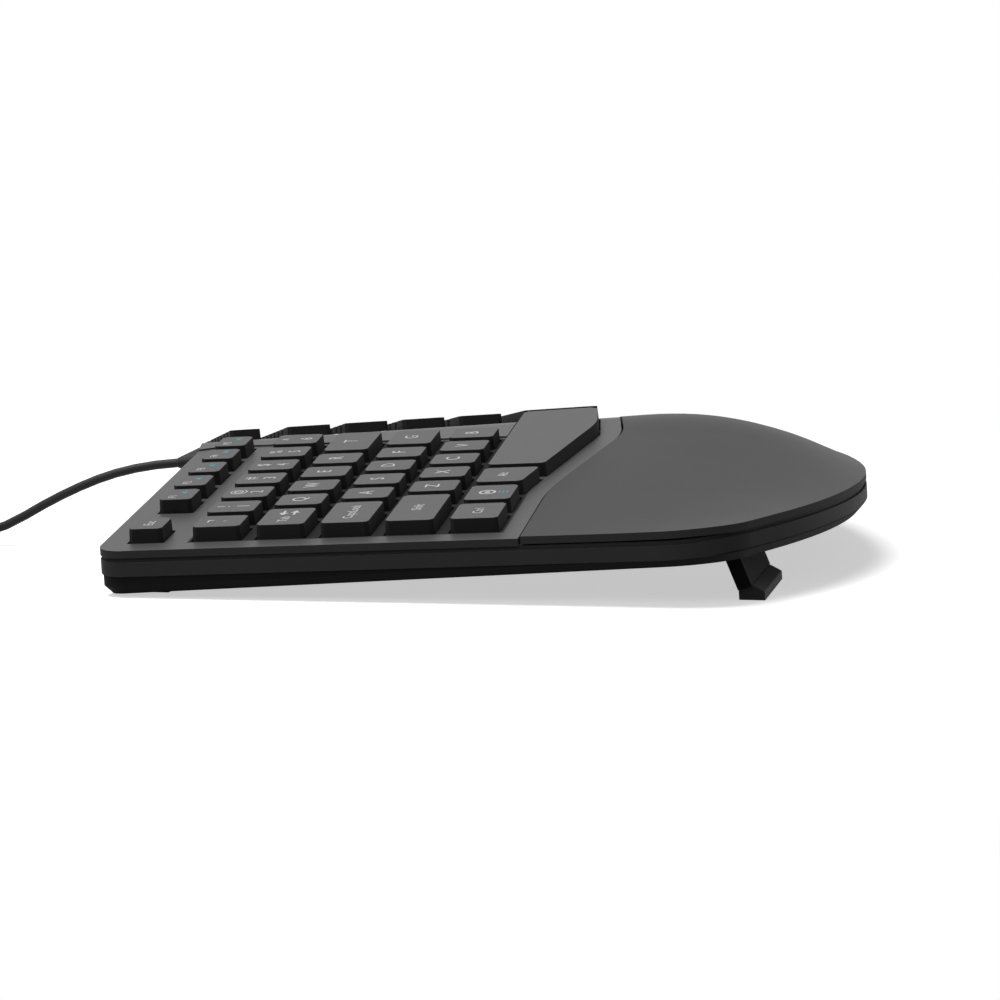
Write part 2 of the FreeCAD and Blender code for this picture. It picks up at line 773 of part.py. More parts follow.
REAR_FOOT = {"left": 118.0, "right": 183.0}
REAR_PAD = (34.0, 10.0)
REAR_PAD_ROW = -15.0
PAD_SEAT = 0.6


def rear_pad_box(half, low, high, slack=0.0):
    length, depth = REAR_PAD
    box = Part.makeBox(length + 2 * slack, depth + 2 * slack, high - low,
                       Vector(-length / 2 - slack, -depth / 2 - slack, low))
    turn = Rotation(Vector(0, 0, 1), SIDES[half] * math.degrees(THETA))
    box.Placement = Placement(plan(half, REAR_FOOT[half], REAR_PAD_ROW), turn)
    return box


BOARD = (22.0, -139.0, 58.0, 22.0)
BOARD_SEAT = 7.0
BOARD_THICKNESS = 1.6


def board_posts():
    x, y, length, width = BOARD
    spots = [(x + 4, y + 4), (x + length - 4, y + 4), (x + 4, y + width - 4), (x + length - 4, y + width - 4)]
    return [Part.makeCylinder(2.6, BOARD_SEAT - 0.8, Vector(a, b, 0.8)) for a, b in spots]


def make_bottom_case():
    inset = size("case_inset")
    block = prism(body_face(inset), 0.0, FAR)
    rims = [edge for edge in block.Edges if all(abs(vertex.Z) < 1e-6 for vertex in edge.Vertexes)]
    block = block.makeChamfer(size("case_chamfer"), rims).cut(below_floor(0.3))
    outer = block.common(under_rim(size("band_bottom"))).cut(arch())
    cavity = prism(body_face(inset + size("case_wall")), size("case_floor"), FAR)
    plate_drop = size("stack_floor") / math.cos(max(TILT.values())) + 0.05
    cavity = cavity.cut(arch(size("arch_drop") - plate_drop))
    cavity = cavity.cut(Part.makeCompound([leg_recess(half, 1.4) for half in SIDES]))
    case = outer.cut(cavity)
    bosses = board_posts()
    for x, y, under, tip in screw_seats():
        top = BOSS_SPLIT if (x, y) in PALM_SCREWS else FAR
        bosses.append(Part.makeCylinder(BOSS_RADIUS, top - under - 0.4, Vector(x, y, under + 0.4)))
    posts = [boss.common(under_roof(size("slab_depth"))) for boss in bosses]
    case = case.multiFuse(posts)
    case = case.cut(Part.makeCompound([leg_recess(half) for half in SIDES]))
    case = case.cut(Part.makeCompound([rear_pad_box(half, -5.0, PAD_SEAT) for half in SIDES]))
    counterbores = [Part.makeCylinder(SCREW_HEAD / 2 + 0.3, 8.0, Vector(x, y, under - 6.0))
                    for x, y, under, _ in screw_seats()]
    case = case.cut(Part.makeCompound(counterbores)).cut(screw_holes(SCREW_SHANK + 0.4))
    case = case.cut(pivot_bores())
    add_feature("bottom_case", one_solid(case))


def make_screws():
    screws = []
    for x, y, under, tip in screw_seats():
        head = Part.makeCylinder(SCREW_HEAD / 2, 1.7, Vector(x, y, under + 0.3))
        shank = Part.makeCylinder(SCREW_SHANK / 2 - 0.05, tip - under - 2.0, Vector(x, y, under + 1.9))
        screws.append(head.fuse(shank).removeSplitter())
    add_feature("case_screws", Part.makeCompound(screws))


# Switch layers in each half

LAYER_MARGIN = 4.0


def layer_outline(half):
    """Outline of the sheets under the keys, in the half's own frame."""
    outer = OUTER[half] + LAYER_MARGIN
    inner = INNER[half] - 7.0
    rear = row_rear(FUNCTION) - 2.0
    bend_w, bend_v = FRONT_BEND
    corners = [(inner, rear), (outer, rear), (outer, bend_v + 1), (bend_w, bend_v + 1), (inner, bend_v + 10)]
    return [local(half, w, v) for w, v in corners]


def boss_clearance(half):
    inverse = half_placement(half).inverse()
    holes = []
    for x, y, under, tip in screw_seats():
        post = Part.makeCylinder(BOSS_RADIUS + 0.4, 80.0, Vector(x, y, LOW / 4))
        post.Placement = inverse.multiply(post.Placement)
        holes.append(post)
    return Part.makeCompound(holes)


def make_layers(half):
    plate = size("plate_thickness")
    membrane = size("membrane_thickness")
    web = size("dome_sheet")
    floor = -size("stack_floor")
    outline = face_of(layer_outline(half))
    holes = boss_clearance(half)
    placement = half_placement(half)
    add_feature("support_plate_" + half, one_solid(prism(outline, floor, floor + plate).cut(holes)), placement)
    low = floor + plate
    add_feature("membrane_" + half, one_solid(prism(outline, low, low + membrane).cut(holes)), placement)
    low += membrane
    sheet_solid = prism(outline, low, low + web).cut(holes)
    domes = [dome(key.stem, low + web) for key in KEYS if key.half == half]
    add_feature("dome_sheet_" + half, one_solid(sheet_solid.multiFuse(domes)), placement)


DOME_SIDES = 8
DOME_FOOT = 4.6
DOME_CROWN = 2.9


def ring_wire(centre, radius, z):
    points = [centre + Vector(radius * math.cos(angle), radius * math.sin(angle), z)
              for angle in (2 * math.pi * i / DOME_SIDES for i in range(DOME_SIDES))]
    return Part.makePolygon(points + points[:1])


def dome(centre, base):
    foot = ring_wire(centre, DOME_FOOT, base - size("dome_sheet") / 2)
    crown = ring_wire(centre, DOME_CROWN, base + size("dome_height"))
    return Part.makeLoft([foot, crown], True, True)


# Legs and pads

def pivot_bores():
    bores = []
    for half in SIDES:
        half_width = size("leg_width") / 2 + RECESS_SLACK
        bore = Part.makeCylinder(PIVOT_RADIUS + 0.05, 2 * half_width + 2.4,
                                 Vector(-half_width - 1.2, 0, 0), Vector(1, 0, 0))
        bore.Placement = leg_placement(half)
        bores.append(bore)
    return Part.makeCompound(bores)


PIVOT_RADIUS = 1.4
PAD_FORWARD = 3.6
PAD_FACE = 2.6


def floor_height(y):
    """The surface that the object stands on, in the body's frame."""
    return FLOOR_AT_PADS + (y - FLOOR_PADS_Y) * math.tan(math.radians(size("pitch_angle")))


FLOOR_PADS_Y = 38.0
FLOOR_AT_PADS = -1.2


def below_floor(rise=0.0):
    """Everything under the surface that the object stands on, or under a level above it."""
    block = Part.makeBox(4 * FAR, 4 * FAR, FAR, Vector(-2 * FAR, -2 * FAR, -FAR))
    tilt = Rotation(Vector(1, 0, 0), size("pitch_angle"))
    block.Placement = Placement(Vector(0, FLOOR_PADS_Y, FLOOR_AT_PADS + rise), tilt)
    return block


def leg_points():
    """Profile of a leg in its own YZ plane, hinge at the origin, leaning to the front."""
    lean = math.radians(size("leg_lean"))
    down = Vector(-math.sin(lean), -math.cos(lean), 0)
    across = Vector(math.cos(lean), -math.sin(lean), 0)
    t = size("leg_thickness") / 2
    length = size("leg_length")
    return [across * t, across * t + down * length, across * -t + down * length, across * -t]


def make_leg(half):
    name = "leg_" + half
    body = new_body(name, leg_placement(half))
    profile = new_sketch(body, name + "_profile", [polygon(leg_points())], role="YZ_Plane")
    flap = body.newObject("PartDesign::Pad", name + "_flap")
    flap.Profile = profile
    flap.SideType = "Symmetric"
    flap.setExpression("Length", "Sizes.leg_width")
    for part_name, radius, width in (("barrel", LEG_BARREL, "Sizes.leg_width"),
                                     ("pivot", PIVOT_RADIUS, "Sizes.leg_width + 3.2")):
        disc = new_sketch(body, name + "_" + part_name + "_circle",
                          [[Part.Circle(Vector(0, 0, 0), Vector(0, 0, 1), radius)]], role="YZ_Plane")
        rod = body.newObject("PartDesign::Pad", name + "_" + part_name)
        rod.Profile = disc
        rod.SideType = "Symmetric"
        rod.setExpression("Length", width)


def pad_points(half):
    """Rubber block on the end of a leg; its lower face lies in the floor plane."""
    _, rear_end, front_end, _ = leg_points()
    origin = leg_centre(half)
    rear_y, front_y = rear_end.x, front_end.x - PAD_FORWARD

    def floor_local(y):
        return floor_height(origin.y + y) - origin.z
    return [rear_end, Vector(rear_y, floor_local(rear_y), 0), Vector(front_y, floor_local(front_y), 0),
            Vector(front_y, floor_local(front_y) + PAD_FACE, 0), front_end]


def make_leg_pad(half):
    name = "leg_pad_" + half
    body = new_body(name, leg_placement(half))
    profile = new_sketch(body, name + "_profile", [polygon(pad_points(half))], role="YZ_Plane")
    block = body.newObject("PartDesign::Pad", name + "_block")
    block.Profile = profile
    block.SideType = "Symmetric"
    block.setExpression("Length", "Sizes.leg_width - 3")


def make_rear_pads():
    pads = [rear_pad_box(half, -6.0, PAD_SEAT, -0.05).cut(below_floor()) for half in SIDES]
    add_feature("rear_pads", Part.makeCompound([one_solid(pad) for pad in pads]))


# Controller board with its connector and chip

def make_board():
    x, y, length, width = BOARD
    body = new_body("controller_board", Placement(Vector(x, y, BOARD_SEAT), Rotation()))
    blocks = [("sheet", [Vector(0, 0, 0), Vector(length, 0, 0), Vector(length, width, 0), Vector(0, width, 0)],
               0.0, BOARD_THICKNESS),
              ("chip", square(Vector(length * 0.45, width / 2, 0), 9.0), BOARD_THICKNESS, 1.4),
              ("connector", [Vector(3, width - 6, 0), Vector(15, width - 6, 0), Vector(15, width - 1, 0),
                             Vector(3, width - 1, 0)], BOARD_THICKNESS, 4.0)]
    for name, points, level, height in blocks:
        outline = new_sketch(body, "board_%s_outline" % name, [polygon(points)], offset=level)
        block = body.newObject("PartDesign::Pad", "board_" + name)
        block.Profile = outline
        block.Length = height


# Grommet, cord, coil, plug and tie

def make_grommet():
    body = new_body("strain_relief", Placement(grommet_place(), Rotation()))
    neck, flange, tail = GROMMET_NECK / 2, GROMMET_FLANGE / 2, CORD / 2 + 0.25
    wall = size("band_wall") + 0.1
    half_profile = [Vector(0, -wall - GROMMET_INNER, 0), Vector(flange, -wall - GROMMET_INNER, 0),
                    Vector(flange, -wall, 0), Vector(neck, -wall, 0), Vector(neck, 0.1, 0),
                    Vector(flange, 0.1, 0), Vector(flange, 1.2, 0), Vector(tail, GROMMET_TAIL, 0),
                    Vector(0, GROMMET_TAIL, 0)]
    profile = new_sketch(body, "strain_relief_profile", [polygon(half_profile)])
    turned = body.newObject("PartDesign::Revolution", "strain_relief_turned")
    turned.Profile = profile
    turned.ReferenceAxis = (profile, ["V_Axis"])
    turned.Angle = 360.0


# The cord is laid out in the standing frame: the body turned so that its feet lie on a level floor

STAND = Placement(Vector(), Rotation(Vector(1, 0, 0), -size("pitch_angle")))
FLOOR = STAND.multVec(Vector(0, FLOOR_PADS_Y, FLOOR_AT_PADS)).z
COIL_GAP = 0.45
COIL_LAYERS = 4
COIL_Y = 130.0
TIE_THICKNESS = 0.7
TIE_WIDTH = 4.0
TIE_SLACK = 0.15
RUN_X = 2.0
COIL_START = Vector(RUN_X, COIL_Y, FLOOR + TIE_THICKNESS + TIE_SLACK + 0.05 + CORD / 2)
TURN_STEP = CORD + COIL_GAP
PLUG_HALF_HEIGHT = 3.9
PLUG_WIDTH = 15.6


def tube_on(edges, diameter):
    """A round tube on a tangent row of edges, and the length of the row."""
    path = Part.Wire(edges)
    start = edges[0].valueAt(edges[0].FirstParameter)
    along = edges[0].tangentAt(edges[0].FirstParameter)
    section = Part.Wire([Part.Circle(start, along, diameter / 2).toShape()])
    return path.makePipeShell([section], True, False), path.Length


def report_tube(name, tube, length):
    full = length * math.pi * CORD * CORD / 4
    print("%s: length %.1f mm, volume over section times length %.4f" % (name, length, tube.Volume / full))


def route_edges(name, points):
    """Straight runs joined by tangent arcs, each as large as the shorter of its two runs allows."""
    edges = []
    start = points[0]
    for i in range(1, len(points) - 1):
        back, ahead = points[i - 1] - points[i], points[i + 1] - points[i]
        reach = 0.45 * min(back.Length, ahead.Length)
        back.normalize()
        ahead.normalize()
        half_turn_angle = (math.pi - back.getAngle(ahead)) / 2
        radius = reach / math.tan(half_turn_angle)
        middle = points[i] + (back + ahead).normalize() * (radius / math.cos(half_turn_angle) - radius)
        first, last = points[i] + back * reach, points[i] + ahead * reach
        edges.append(Part.LineSegment(start, first).toShape())
        edges.append(Part.Arc(first, middle, last).toShape())
        print("%s: bend %d has a radius of %.1f mm" % (name, i, radius))
        start = last
    edges.append(Part.LineSegment(start, points[-1]).toShape())
    return edges


def run_points():
    """From the grommet straight out, down in a soft bow, and along the floor to the coil."""
    start = STAND.multVec(grommet_place() + Vector(0, GROMMET_TAIL, 0))
    ahead = STAND.Rotation.multVec(Vector(0, 1, 0))
    return [start, start + ahead * 15.0, Vector(0.6, 77.0, FLOOR + 17.5),
            Vector(RUN_X, 102.0, COIL_START.z), COIL_START]


def make_cord_run():
    tube, length = tube_on(route_edges("cord_run", run_points()), CORD)
    report_tube("cord_run", tube, length)
    add_feature("cord_run", tube)
    return length


def quarter_middle(first, tangent, last):
    """The middle of the arc that leaves one point along a tangent and ends in another."""
    chord = last - first
    normal = tangent.cross(chord).cross(tangent).normalize()
    bend = chord.Length ** 2 / (2 * chord.dot(normal))
    centre = first + normal * bend
    return centre + ((first - centre) + (last - centre)).normalize() * bend


def half_turn(start, centre, climb):
    """Half a turn to the left about a centre: one level arc, or two that climb to the next layer."""
    arm = start - centre
    side = Vector(-arm.y, arm.x, 0).normalize()
    end = centre - arm + Vector(0, 0, climb)
    middle = centre + side * math.hypot(arm.Length, climb / 2) + Vector(0, 0, climb / 2)
    if not climb:
        return [Part.Arc(start, middle, end).toShape()], end
    lower = Part.Arc(start, quarter_middle(start, side, middle), middle)
    upper = Part.Arc(middle, quarter_middle(end, side, middle), end)
    return [lower.toShape(), upper.toShape()], end


def coil_edges():
    """Layers that wind in and out by turns; the half turn between two layers climbs."""
    turns = round(size("coil_halfturns"))
    edges = []
    point, radius, inward, change = COIL_START, size("coil_radius"), -1, -TURN_STEP / 2
    for layer in range(COIL_LAYERS):
        for number in range(turns + 1):
            climbs = number == turns and layer < COIL_LAYERS - 1
            centre = point + Vector(inward * radius, 0, 0)
            arcs, point = half_turn(point, centre, TURN_STEP if climbs else 0.0)
            edges += arcs
            inward = -inward
            if number == turns:
                change = -change
            radius += change
    return edges, point


def least_gap(edges):
    """Least distance between turns of the coil, less the cord's diameter, on points along it."""
    spots, along = [], 0.0
    for edge in edges:
        count = max(4, int(edge.Length / 2.0))
        for i in range(count):
            reach = edge.Length * i / count
            spots.append((along + reach, edge.valueAt(edge.getParameterByLength(reach))))
        along += edge.Length
    least = FAR
    for i, (first, a) in enumerate(spots):
        for second, b in spots[i + 1:]:
            if second - first > 6 * CORD and abs(a.z - b.z) < 3 * CORD:
                least = min(least, a.distanceToPoint(b))
    return least - CORD


def make_coil():
    edges, end = coil_edges()
    tube, length = tube_on(edges, CORD)
    report_tube("cord_coil", tube, length)
    print("cord_coil: least gap between turns %.2f mm" % least_gap(edges))
    add_feature("cord_coil", tube)
    return end, length


def make_cord_tail(start):
    """From the top of the coil down to the plug on the floor."""
    level = FLOOR + PLUG_HALF_HEIGHT + 0.02
    points = [start, start + Vector(0, 14, 0), Vector(start.x, start.y + 36, level),
              Vector(start.x, start.y + 48, level)]
    tube, length = tube_on(route_edges("cord_tail", points), CORD)
    report_tube("cord_tail", tube, length)
    add_feature("cord_tail", tube)
    return points[-1], length


def make_tie():
    """A strap round the bundle at the middle of its far side."""
    inner_turn = size("coil_radius") - round(size("coil_halfturns")) * TURN_STEP / 2
    spread = TIE_WIDTH / 2 + TURN_STEP / 2
    near = math.sqrt((inner_turn - CORD / 2) ** 2 - spread ** 2) - TIE_SLACK
    far = size("coil_radius") + CORD / 2 + TIE_SLACK
    low = COIL_START.z - CORD / 2 - TIE_SLACK
    high = COIL_START.z + (COIL_LAYERS - 1) * TURN_STEP + CORD / 2 + TIE_SLACK
    middle_x = RUN_X - size("coil_radius") + TURN_STEP / 2
    body = new_body("cable_tie", Placement(Vector(middle_x, COIL_Y, 0), Rotation()))
    inner = [Vector(near, low, 0), Vector(far, low, 0), Vector(far, high, 0), Vector(near, high, 0)]
    outlines = [rounded(grown(inner, TIE_THICKNESS), 1.6), rounded(inner, 0.9)]
    profile = new_sketch(body, "cable_tie_profile", outlines, role="YZ_Plane")
    strap = body.newObject("PartDesign::Pad", "cable_tie_strap")
    strap.Profile = profile
    strap.SideType = "Symmetric"
    strap.Length = TIE_WIDTH


RELIEF_LENGTH = 8.5
GRIP_LENGTH = 20.0
SHELL_LENGTH = 11.8
SHELL = (12.0, 4.5)
SHELL_WALL = 0.3
TONGUE = (10.8, 1.8)


def rectangle(width, height, y=0.0):
    return [Vector(-width / 2, y - height / 2, 0), Vector(width / 2, y - height / 2, 0),
            Vector(width / 2, y + height / 2, 0), Vector(-width / 2, y + height / 2, 0)]


def make_plug(place):
    """Grip with a tapered relief, metal shell and tongue, along the body's own Z from the cord's end."""
    placement = Placement(place, Rotation(Vector(1, 0, 0), -90))
    grip = new_body("plug_grip", placement)
    outline = new_sketch(grip, "plug_grip_outline",
                         [rounded(rectangle(PLUG_WIDTH, 2 * PLUG_HALF_HEIGHT), 1.5)], offset=RELIEF_LENGTH)
    block = grip.newObject("PartDesign::Pad", "plug_grip_block")
    block.Profile = outline
    block.Length = GRIP_LENGTH
    slope = [Vector(0, 0, 0), Vector(CORD / 2 + 0.6, 0, 0), Vector(CORD / 2 + 1.8, RELIEF_LENGTH + 0.5, 0),
             Vector(0, RELIEF_LENGTH + 0.5, 0)]
    profile = new_sketch(grip, "plug_relief_profile", [polygon(slope)], role="XZ_Plane")
    relief = grip.newObject("PartDesign::Revolution", "plug_relief")
    relief.Profile = profile
    relief.ReferenceAxis = (profile, ["V_Axis"])
    relief.Angle = 360.0
    end = RELIEF_LENGTH + GRIP_LENGTH
    shell = new_body("plug_shell", placement)
    frame_sketch = new_sketch(shell, "plug_shell_outline",
                              [rounded(rectangle(*SHELL), 0.6),
                               polygon(rectangle(SHELL[0] - 2 * SHELL_WALL, SHELL[1] - 2 * SHELL_WALL))],
                              offset=end)
    frame = shell.newObject("PartDesign::Pad", "plug_shell_frame")
    frame.Profile = frame_sketch
    frame.Length = SHELL_LENGTH
    tongue = new_body("plug_tongue", placement)
    shelf = SHELL[1] / 2 - SHELL_WALL - TONGUE[1] / 2
    tongue_sketch = new_sketch(tongue, "plug_tongue_outline", [polygon(rectangle(*TONGUE, y=shelf))],
                               offset=end)
    bar = tongue.newObject("PartDesign::Pad", "plug_tongue_bar")
    bar.Profile = tongue_sketch
    bar.Length = SHELL_LENGTH - 1.0


CORD_NODES = ["cord_run", "cord_coil", "cord_tail", "cable_tie", "plug_grip", "plug_shell", "plug_tongue"]


def standing_box():
    box = FreeCAD.BoundBox()
    for label, (item, placement) in NODES.items():
        if label not in CORD_NODES:
            item.Placement = STAND.multiply(placement)
            box.add(item.Shape.optimalBoundingBox(False, False))
    return box


def place_everything():
    """Puts the middle of the standing object's footprint at the origin; returns the shift."""
    box = standing_box()
    shift = Placement(Vector(-box.Center.x, -box.Center.y, -FLOOR), Rotation())
    for label, (item, placement) in NODES.items():
        turned = placement if label in CORD_NODES else STAND.multiply(placement)
        item.Placement = shift.multiply(turned)
    return shift


def check_and_write():
    doc.recompute()
    for item in doc.Objects:
        if "Invalid" in item.State or "Error" in item.State:
            raise RuntimeError("not computed: " + item.Label)
    os.makedirs("parts", exist_ok=True)
    for label, (item, _) in sorted(NODES.items()):
        shape = item.Shape
        if shape.isNull() or not shape.isValid() or not shape.Solids:
            raise RuntimeError("no valid solid: " + label)
        shape.exportStep("parts/%s.step" % label)
        print("%-24s solids %2d  faces %4d  volume %9.1f" % (label, len(shape.Solids), len(shape.Faces),
                                                             shape.Volume))


def print_places(shift):
    """Joint and mount places in the finished frame, in metres."""
    whole = shift.multiply(STAND)
    places = {}
    for half in SIDES:
        turned = whole.Rotation.multiply(half_placement(half).Rotation)
        places["press_" + half] = [round(c, 6) for c in turned.multVec(Vector(0, 0, -1))]
        hinge = whole.multiply(leg_placement(half))
        places["hinge_" + half] = [round(c / 1000, 6) for c in hinge.Base]
        places["hinge_axis_" + half] = [round(c, 6) for c in hinge.Rotation.multVec(Vector(1, 0, 0))]
        pad = whole.multVec(plan(half, REAR_FOOT[half], REAR_PAD_ROW))
        places["rear_pad_" + half] = [round(c / 1000, 6) for c in pad]
    for key in KEYS:
        spot = whole.multiply(half_placement(key.half)).multVec(key.stem)
        places.setdefault(key.node, [round(c / 1000, 5) for c in spot])
    places["shift"] = [round(c, 4) for c in shift.Base]
    print("places", json.dumps(places))
    corners = [shift.multVec(point) for point in run_points()]
    print("route", [[round(c / 1000, 5) for c in point] for point in corners])


make_keys()
make_cover()
make_plate()
make_palm_rest()
make_band()
make_bottom_case()
make_screws()
for side_name in SIDES:
    make_layers(side_name)
    make_leg(side_name)
    make_leg_pad(side_name)
make_rear_pads()
make_board()
make_grommet()
run_length = make_cord_run()
coil_end, coil_length = make_coil()
plug_place, tail_length = make_cord_tail(coil_end)
make_tie()
make_plug(plug_place)
doc.recompute()
print("cord: %.0f mm in all" % (run_length + coil_length + tail_length))
print_places(place_everything())
check_and_write()
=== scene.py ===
import json
import math

import bmesh
import bpy
from mathutils import Euler, Matrix, Vector


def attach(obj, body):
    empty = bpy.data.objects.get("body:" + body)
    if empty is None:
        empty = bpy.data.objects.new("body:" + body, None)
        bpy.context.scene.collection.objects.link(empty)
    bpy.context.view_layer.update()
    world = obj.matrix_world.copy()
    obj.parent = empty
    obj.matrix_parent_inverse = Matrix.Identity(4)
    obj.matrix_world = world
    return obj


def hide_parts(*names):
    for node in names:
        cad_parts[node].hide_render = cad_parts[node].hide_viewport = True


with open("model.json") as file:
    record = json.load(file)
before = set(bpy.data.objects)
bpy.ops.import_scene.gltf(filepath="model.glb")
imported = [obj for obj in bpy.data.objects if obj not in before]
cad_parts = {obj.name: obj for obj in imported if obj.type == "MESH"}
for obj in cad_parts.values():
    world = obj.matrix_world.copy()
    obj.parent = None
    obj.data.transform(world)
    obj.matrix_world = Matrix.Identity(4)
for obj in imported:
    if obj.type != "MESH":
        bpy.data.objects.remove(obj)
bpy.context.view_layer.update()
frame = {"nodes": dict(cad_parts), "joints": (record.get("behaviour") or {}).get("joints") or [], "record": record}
nodes = frame["nodes"]
scene = bpy.context.scene
scene.view_settings.view_transform = "Standard"

# Places of the two key fields, in metres: the same sizes as in the part's source
PITCH, GAP = 0.01905, 0.00445
KEY = PITCH - GAP
FIELD_DEPTH = 4 * PITCH + KEY
FUNCTION_DEPTH = 0.0104
THETA = math.radians(8.33)
TILT = {"left": math.radians(7.4), "right": math.radians(5.2)}
SIDE = {"left": -1, "right": 1}
INNER = {"left": 0.0142, "right": 0.0126}
UNITS = {"left": 7, "right": 10.5}
OUTER = {half: INNER[half] + UNITS[half] * PITCH - GAP for half in SIDE}
RIDGE = 0.0318
KEY_TOP = 0.0042
SLOPE = math.radians(-3.85)
SHIFT = Vector((-0.0323013, 0.0635546, 0.0037488))
STANDING = Matrix.Translation(SHIFT) @ Euler((SLOPE, 0, 0)).to_matrix().to_4x4()


def half_matrix(half):
    """From the plane of a half's key field, with the cover's top at zero, to the frame."""
    side = SIDE[half]
    tilt = Euler((0, side * TILT[half], 0)).to_matrix().to_4x4()
    turn = Euler((0, 0, side * THETA)).to_matrix().to_4x4()
    return STANDING @ Matrix.Translation((0, 0, RIDGE)) @ tilt @ turn


# Materials

WALL_ROUGHNESS = 0.85
WALL_NORMAL, TOP_NORMAL = 0.45, 0.92    # upward part of the normal, on a wall at most and on a top at least
FIELD_MARGIN = 0.0008                   # how far the painted shade on the ribs reaches past the outer caps
FIELD_EDGE = 0.0008                     # over what width it ends
CLOUD_LOW, CLOUD_HIGH = 0.3, 0.7        # noise values that take the darkest and the lightest shade
GRAIN_DEPTH = 0.00008


def new_material(name):
    material = bpy.data.materials.new(name)
    material.use_nodes = True
    tree = material.node_tree
    return material, tree.nodes, tree.links, tree.nodes["Principled BSDF"]


# Mask that places the painted shade (or, with a share above one, painted light) on steep faces
def facing_up(made, links, place):
    """One on faces that look up, zero on walls."""
    parts = made.new("ShaderNodeSeparateXYZ")
    links.new(place.outputs["Normal"], parts.inputs["Vector"])
    up = made.new("ShaderNodeMapRange")
    up.interpolation_type = "SMOOTHSTEP"
    up.inputs["From Min"].default_value = WALL_NORMAL
    up.inputs["From Max"].default_value = TOP_NORMAL
    links.new(parts.outputs["Z"], up.inputs["Value"])
    return up.outputs["Result"]


# Mask for the painted shade on the ribs between the keys, where the caps shade the deck
def key_field(made, links, place):
    """One within the rows of keys of either half, zero on the rest of the deck."""
    found = []
    for half, side in SIDE.items():
        inverse = half_matrix(half).inverted()
        middle = Vector((side * (INNER[half] + OUTER[half]) / 2, -FIELD_DEPTH / 2, 0))
        half_width, half_depth = (OUTER[half] - INNER[half]) / 2, FIELD_DEPTH / 2
        reach = Vector((half_width + FIELD_MARGIN, half_depth + FIELD_MARGIN, 0))
        local = made.new("ShaderNodeMapping")
        local.inputs["Location"].default_value = inverse.to_translation() - middle
        local.inputs["Rotation"].default_value = inverse.to_euler()
        links.new(place.outputs["Object"], local.inputs["Vector"])
        away = made.new("ShaderNodeVectorMath")
        away.operation = "ABSOLUTE"
        links.new(local.outputs["Vector"], away.inputs[0])
        past = made.new("ShaderNodeVectorMath")
        past.operation = "SUBTRACT"
        past.inputs[1].default_value = reach
        links.new(away.outputs["Vector"], past.inputs[0])
        parts = made.new("ShaderNodeSeparateXYZ")
        links.new(past.outputs["Vector"], parts.inputs["Vector"])
        farther = made.new("ShaderNodeMath")
        farther.operation = "MAXIMUM"
        links.new(parts.outputs["X"], farther.inputs[0])
        links.new(parts.outputs["Y"], farther.inputs[1])
        inside = made.new("ShaderNodeMapRange")
        inside.inputs["From Max"].default_value = FIELD_EDGE
        inside.inputs["To Min"].default_value = 1.0
        inside.inputs["To Max"].default_value = 0.0
        links.new(farther.outputs["Value"], inside.inputs["Value"])
        found.append(inside.outputs["Result"])
    either = made.new("ShaderNodeMath")
    either.operation = "MAXIMUM"
    links.new(found[0], either.inputs[0])
    links.new(found[1], either.inputs[1])
    return either.outputs["Value"]


def spread(made, links, value, low, high):
    """A value from 0 to 1 taken to another range."""
    reach = made.new("ShaderNodeMapRange")
    reach.inputs["To Min"].default_value = low
    reach.inputs["To Max"].default_value = high
    links.new(value, reach.inputs["Value"])
    return reach.outputs["Result"]


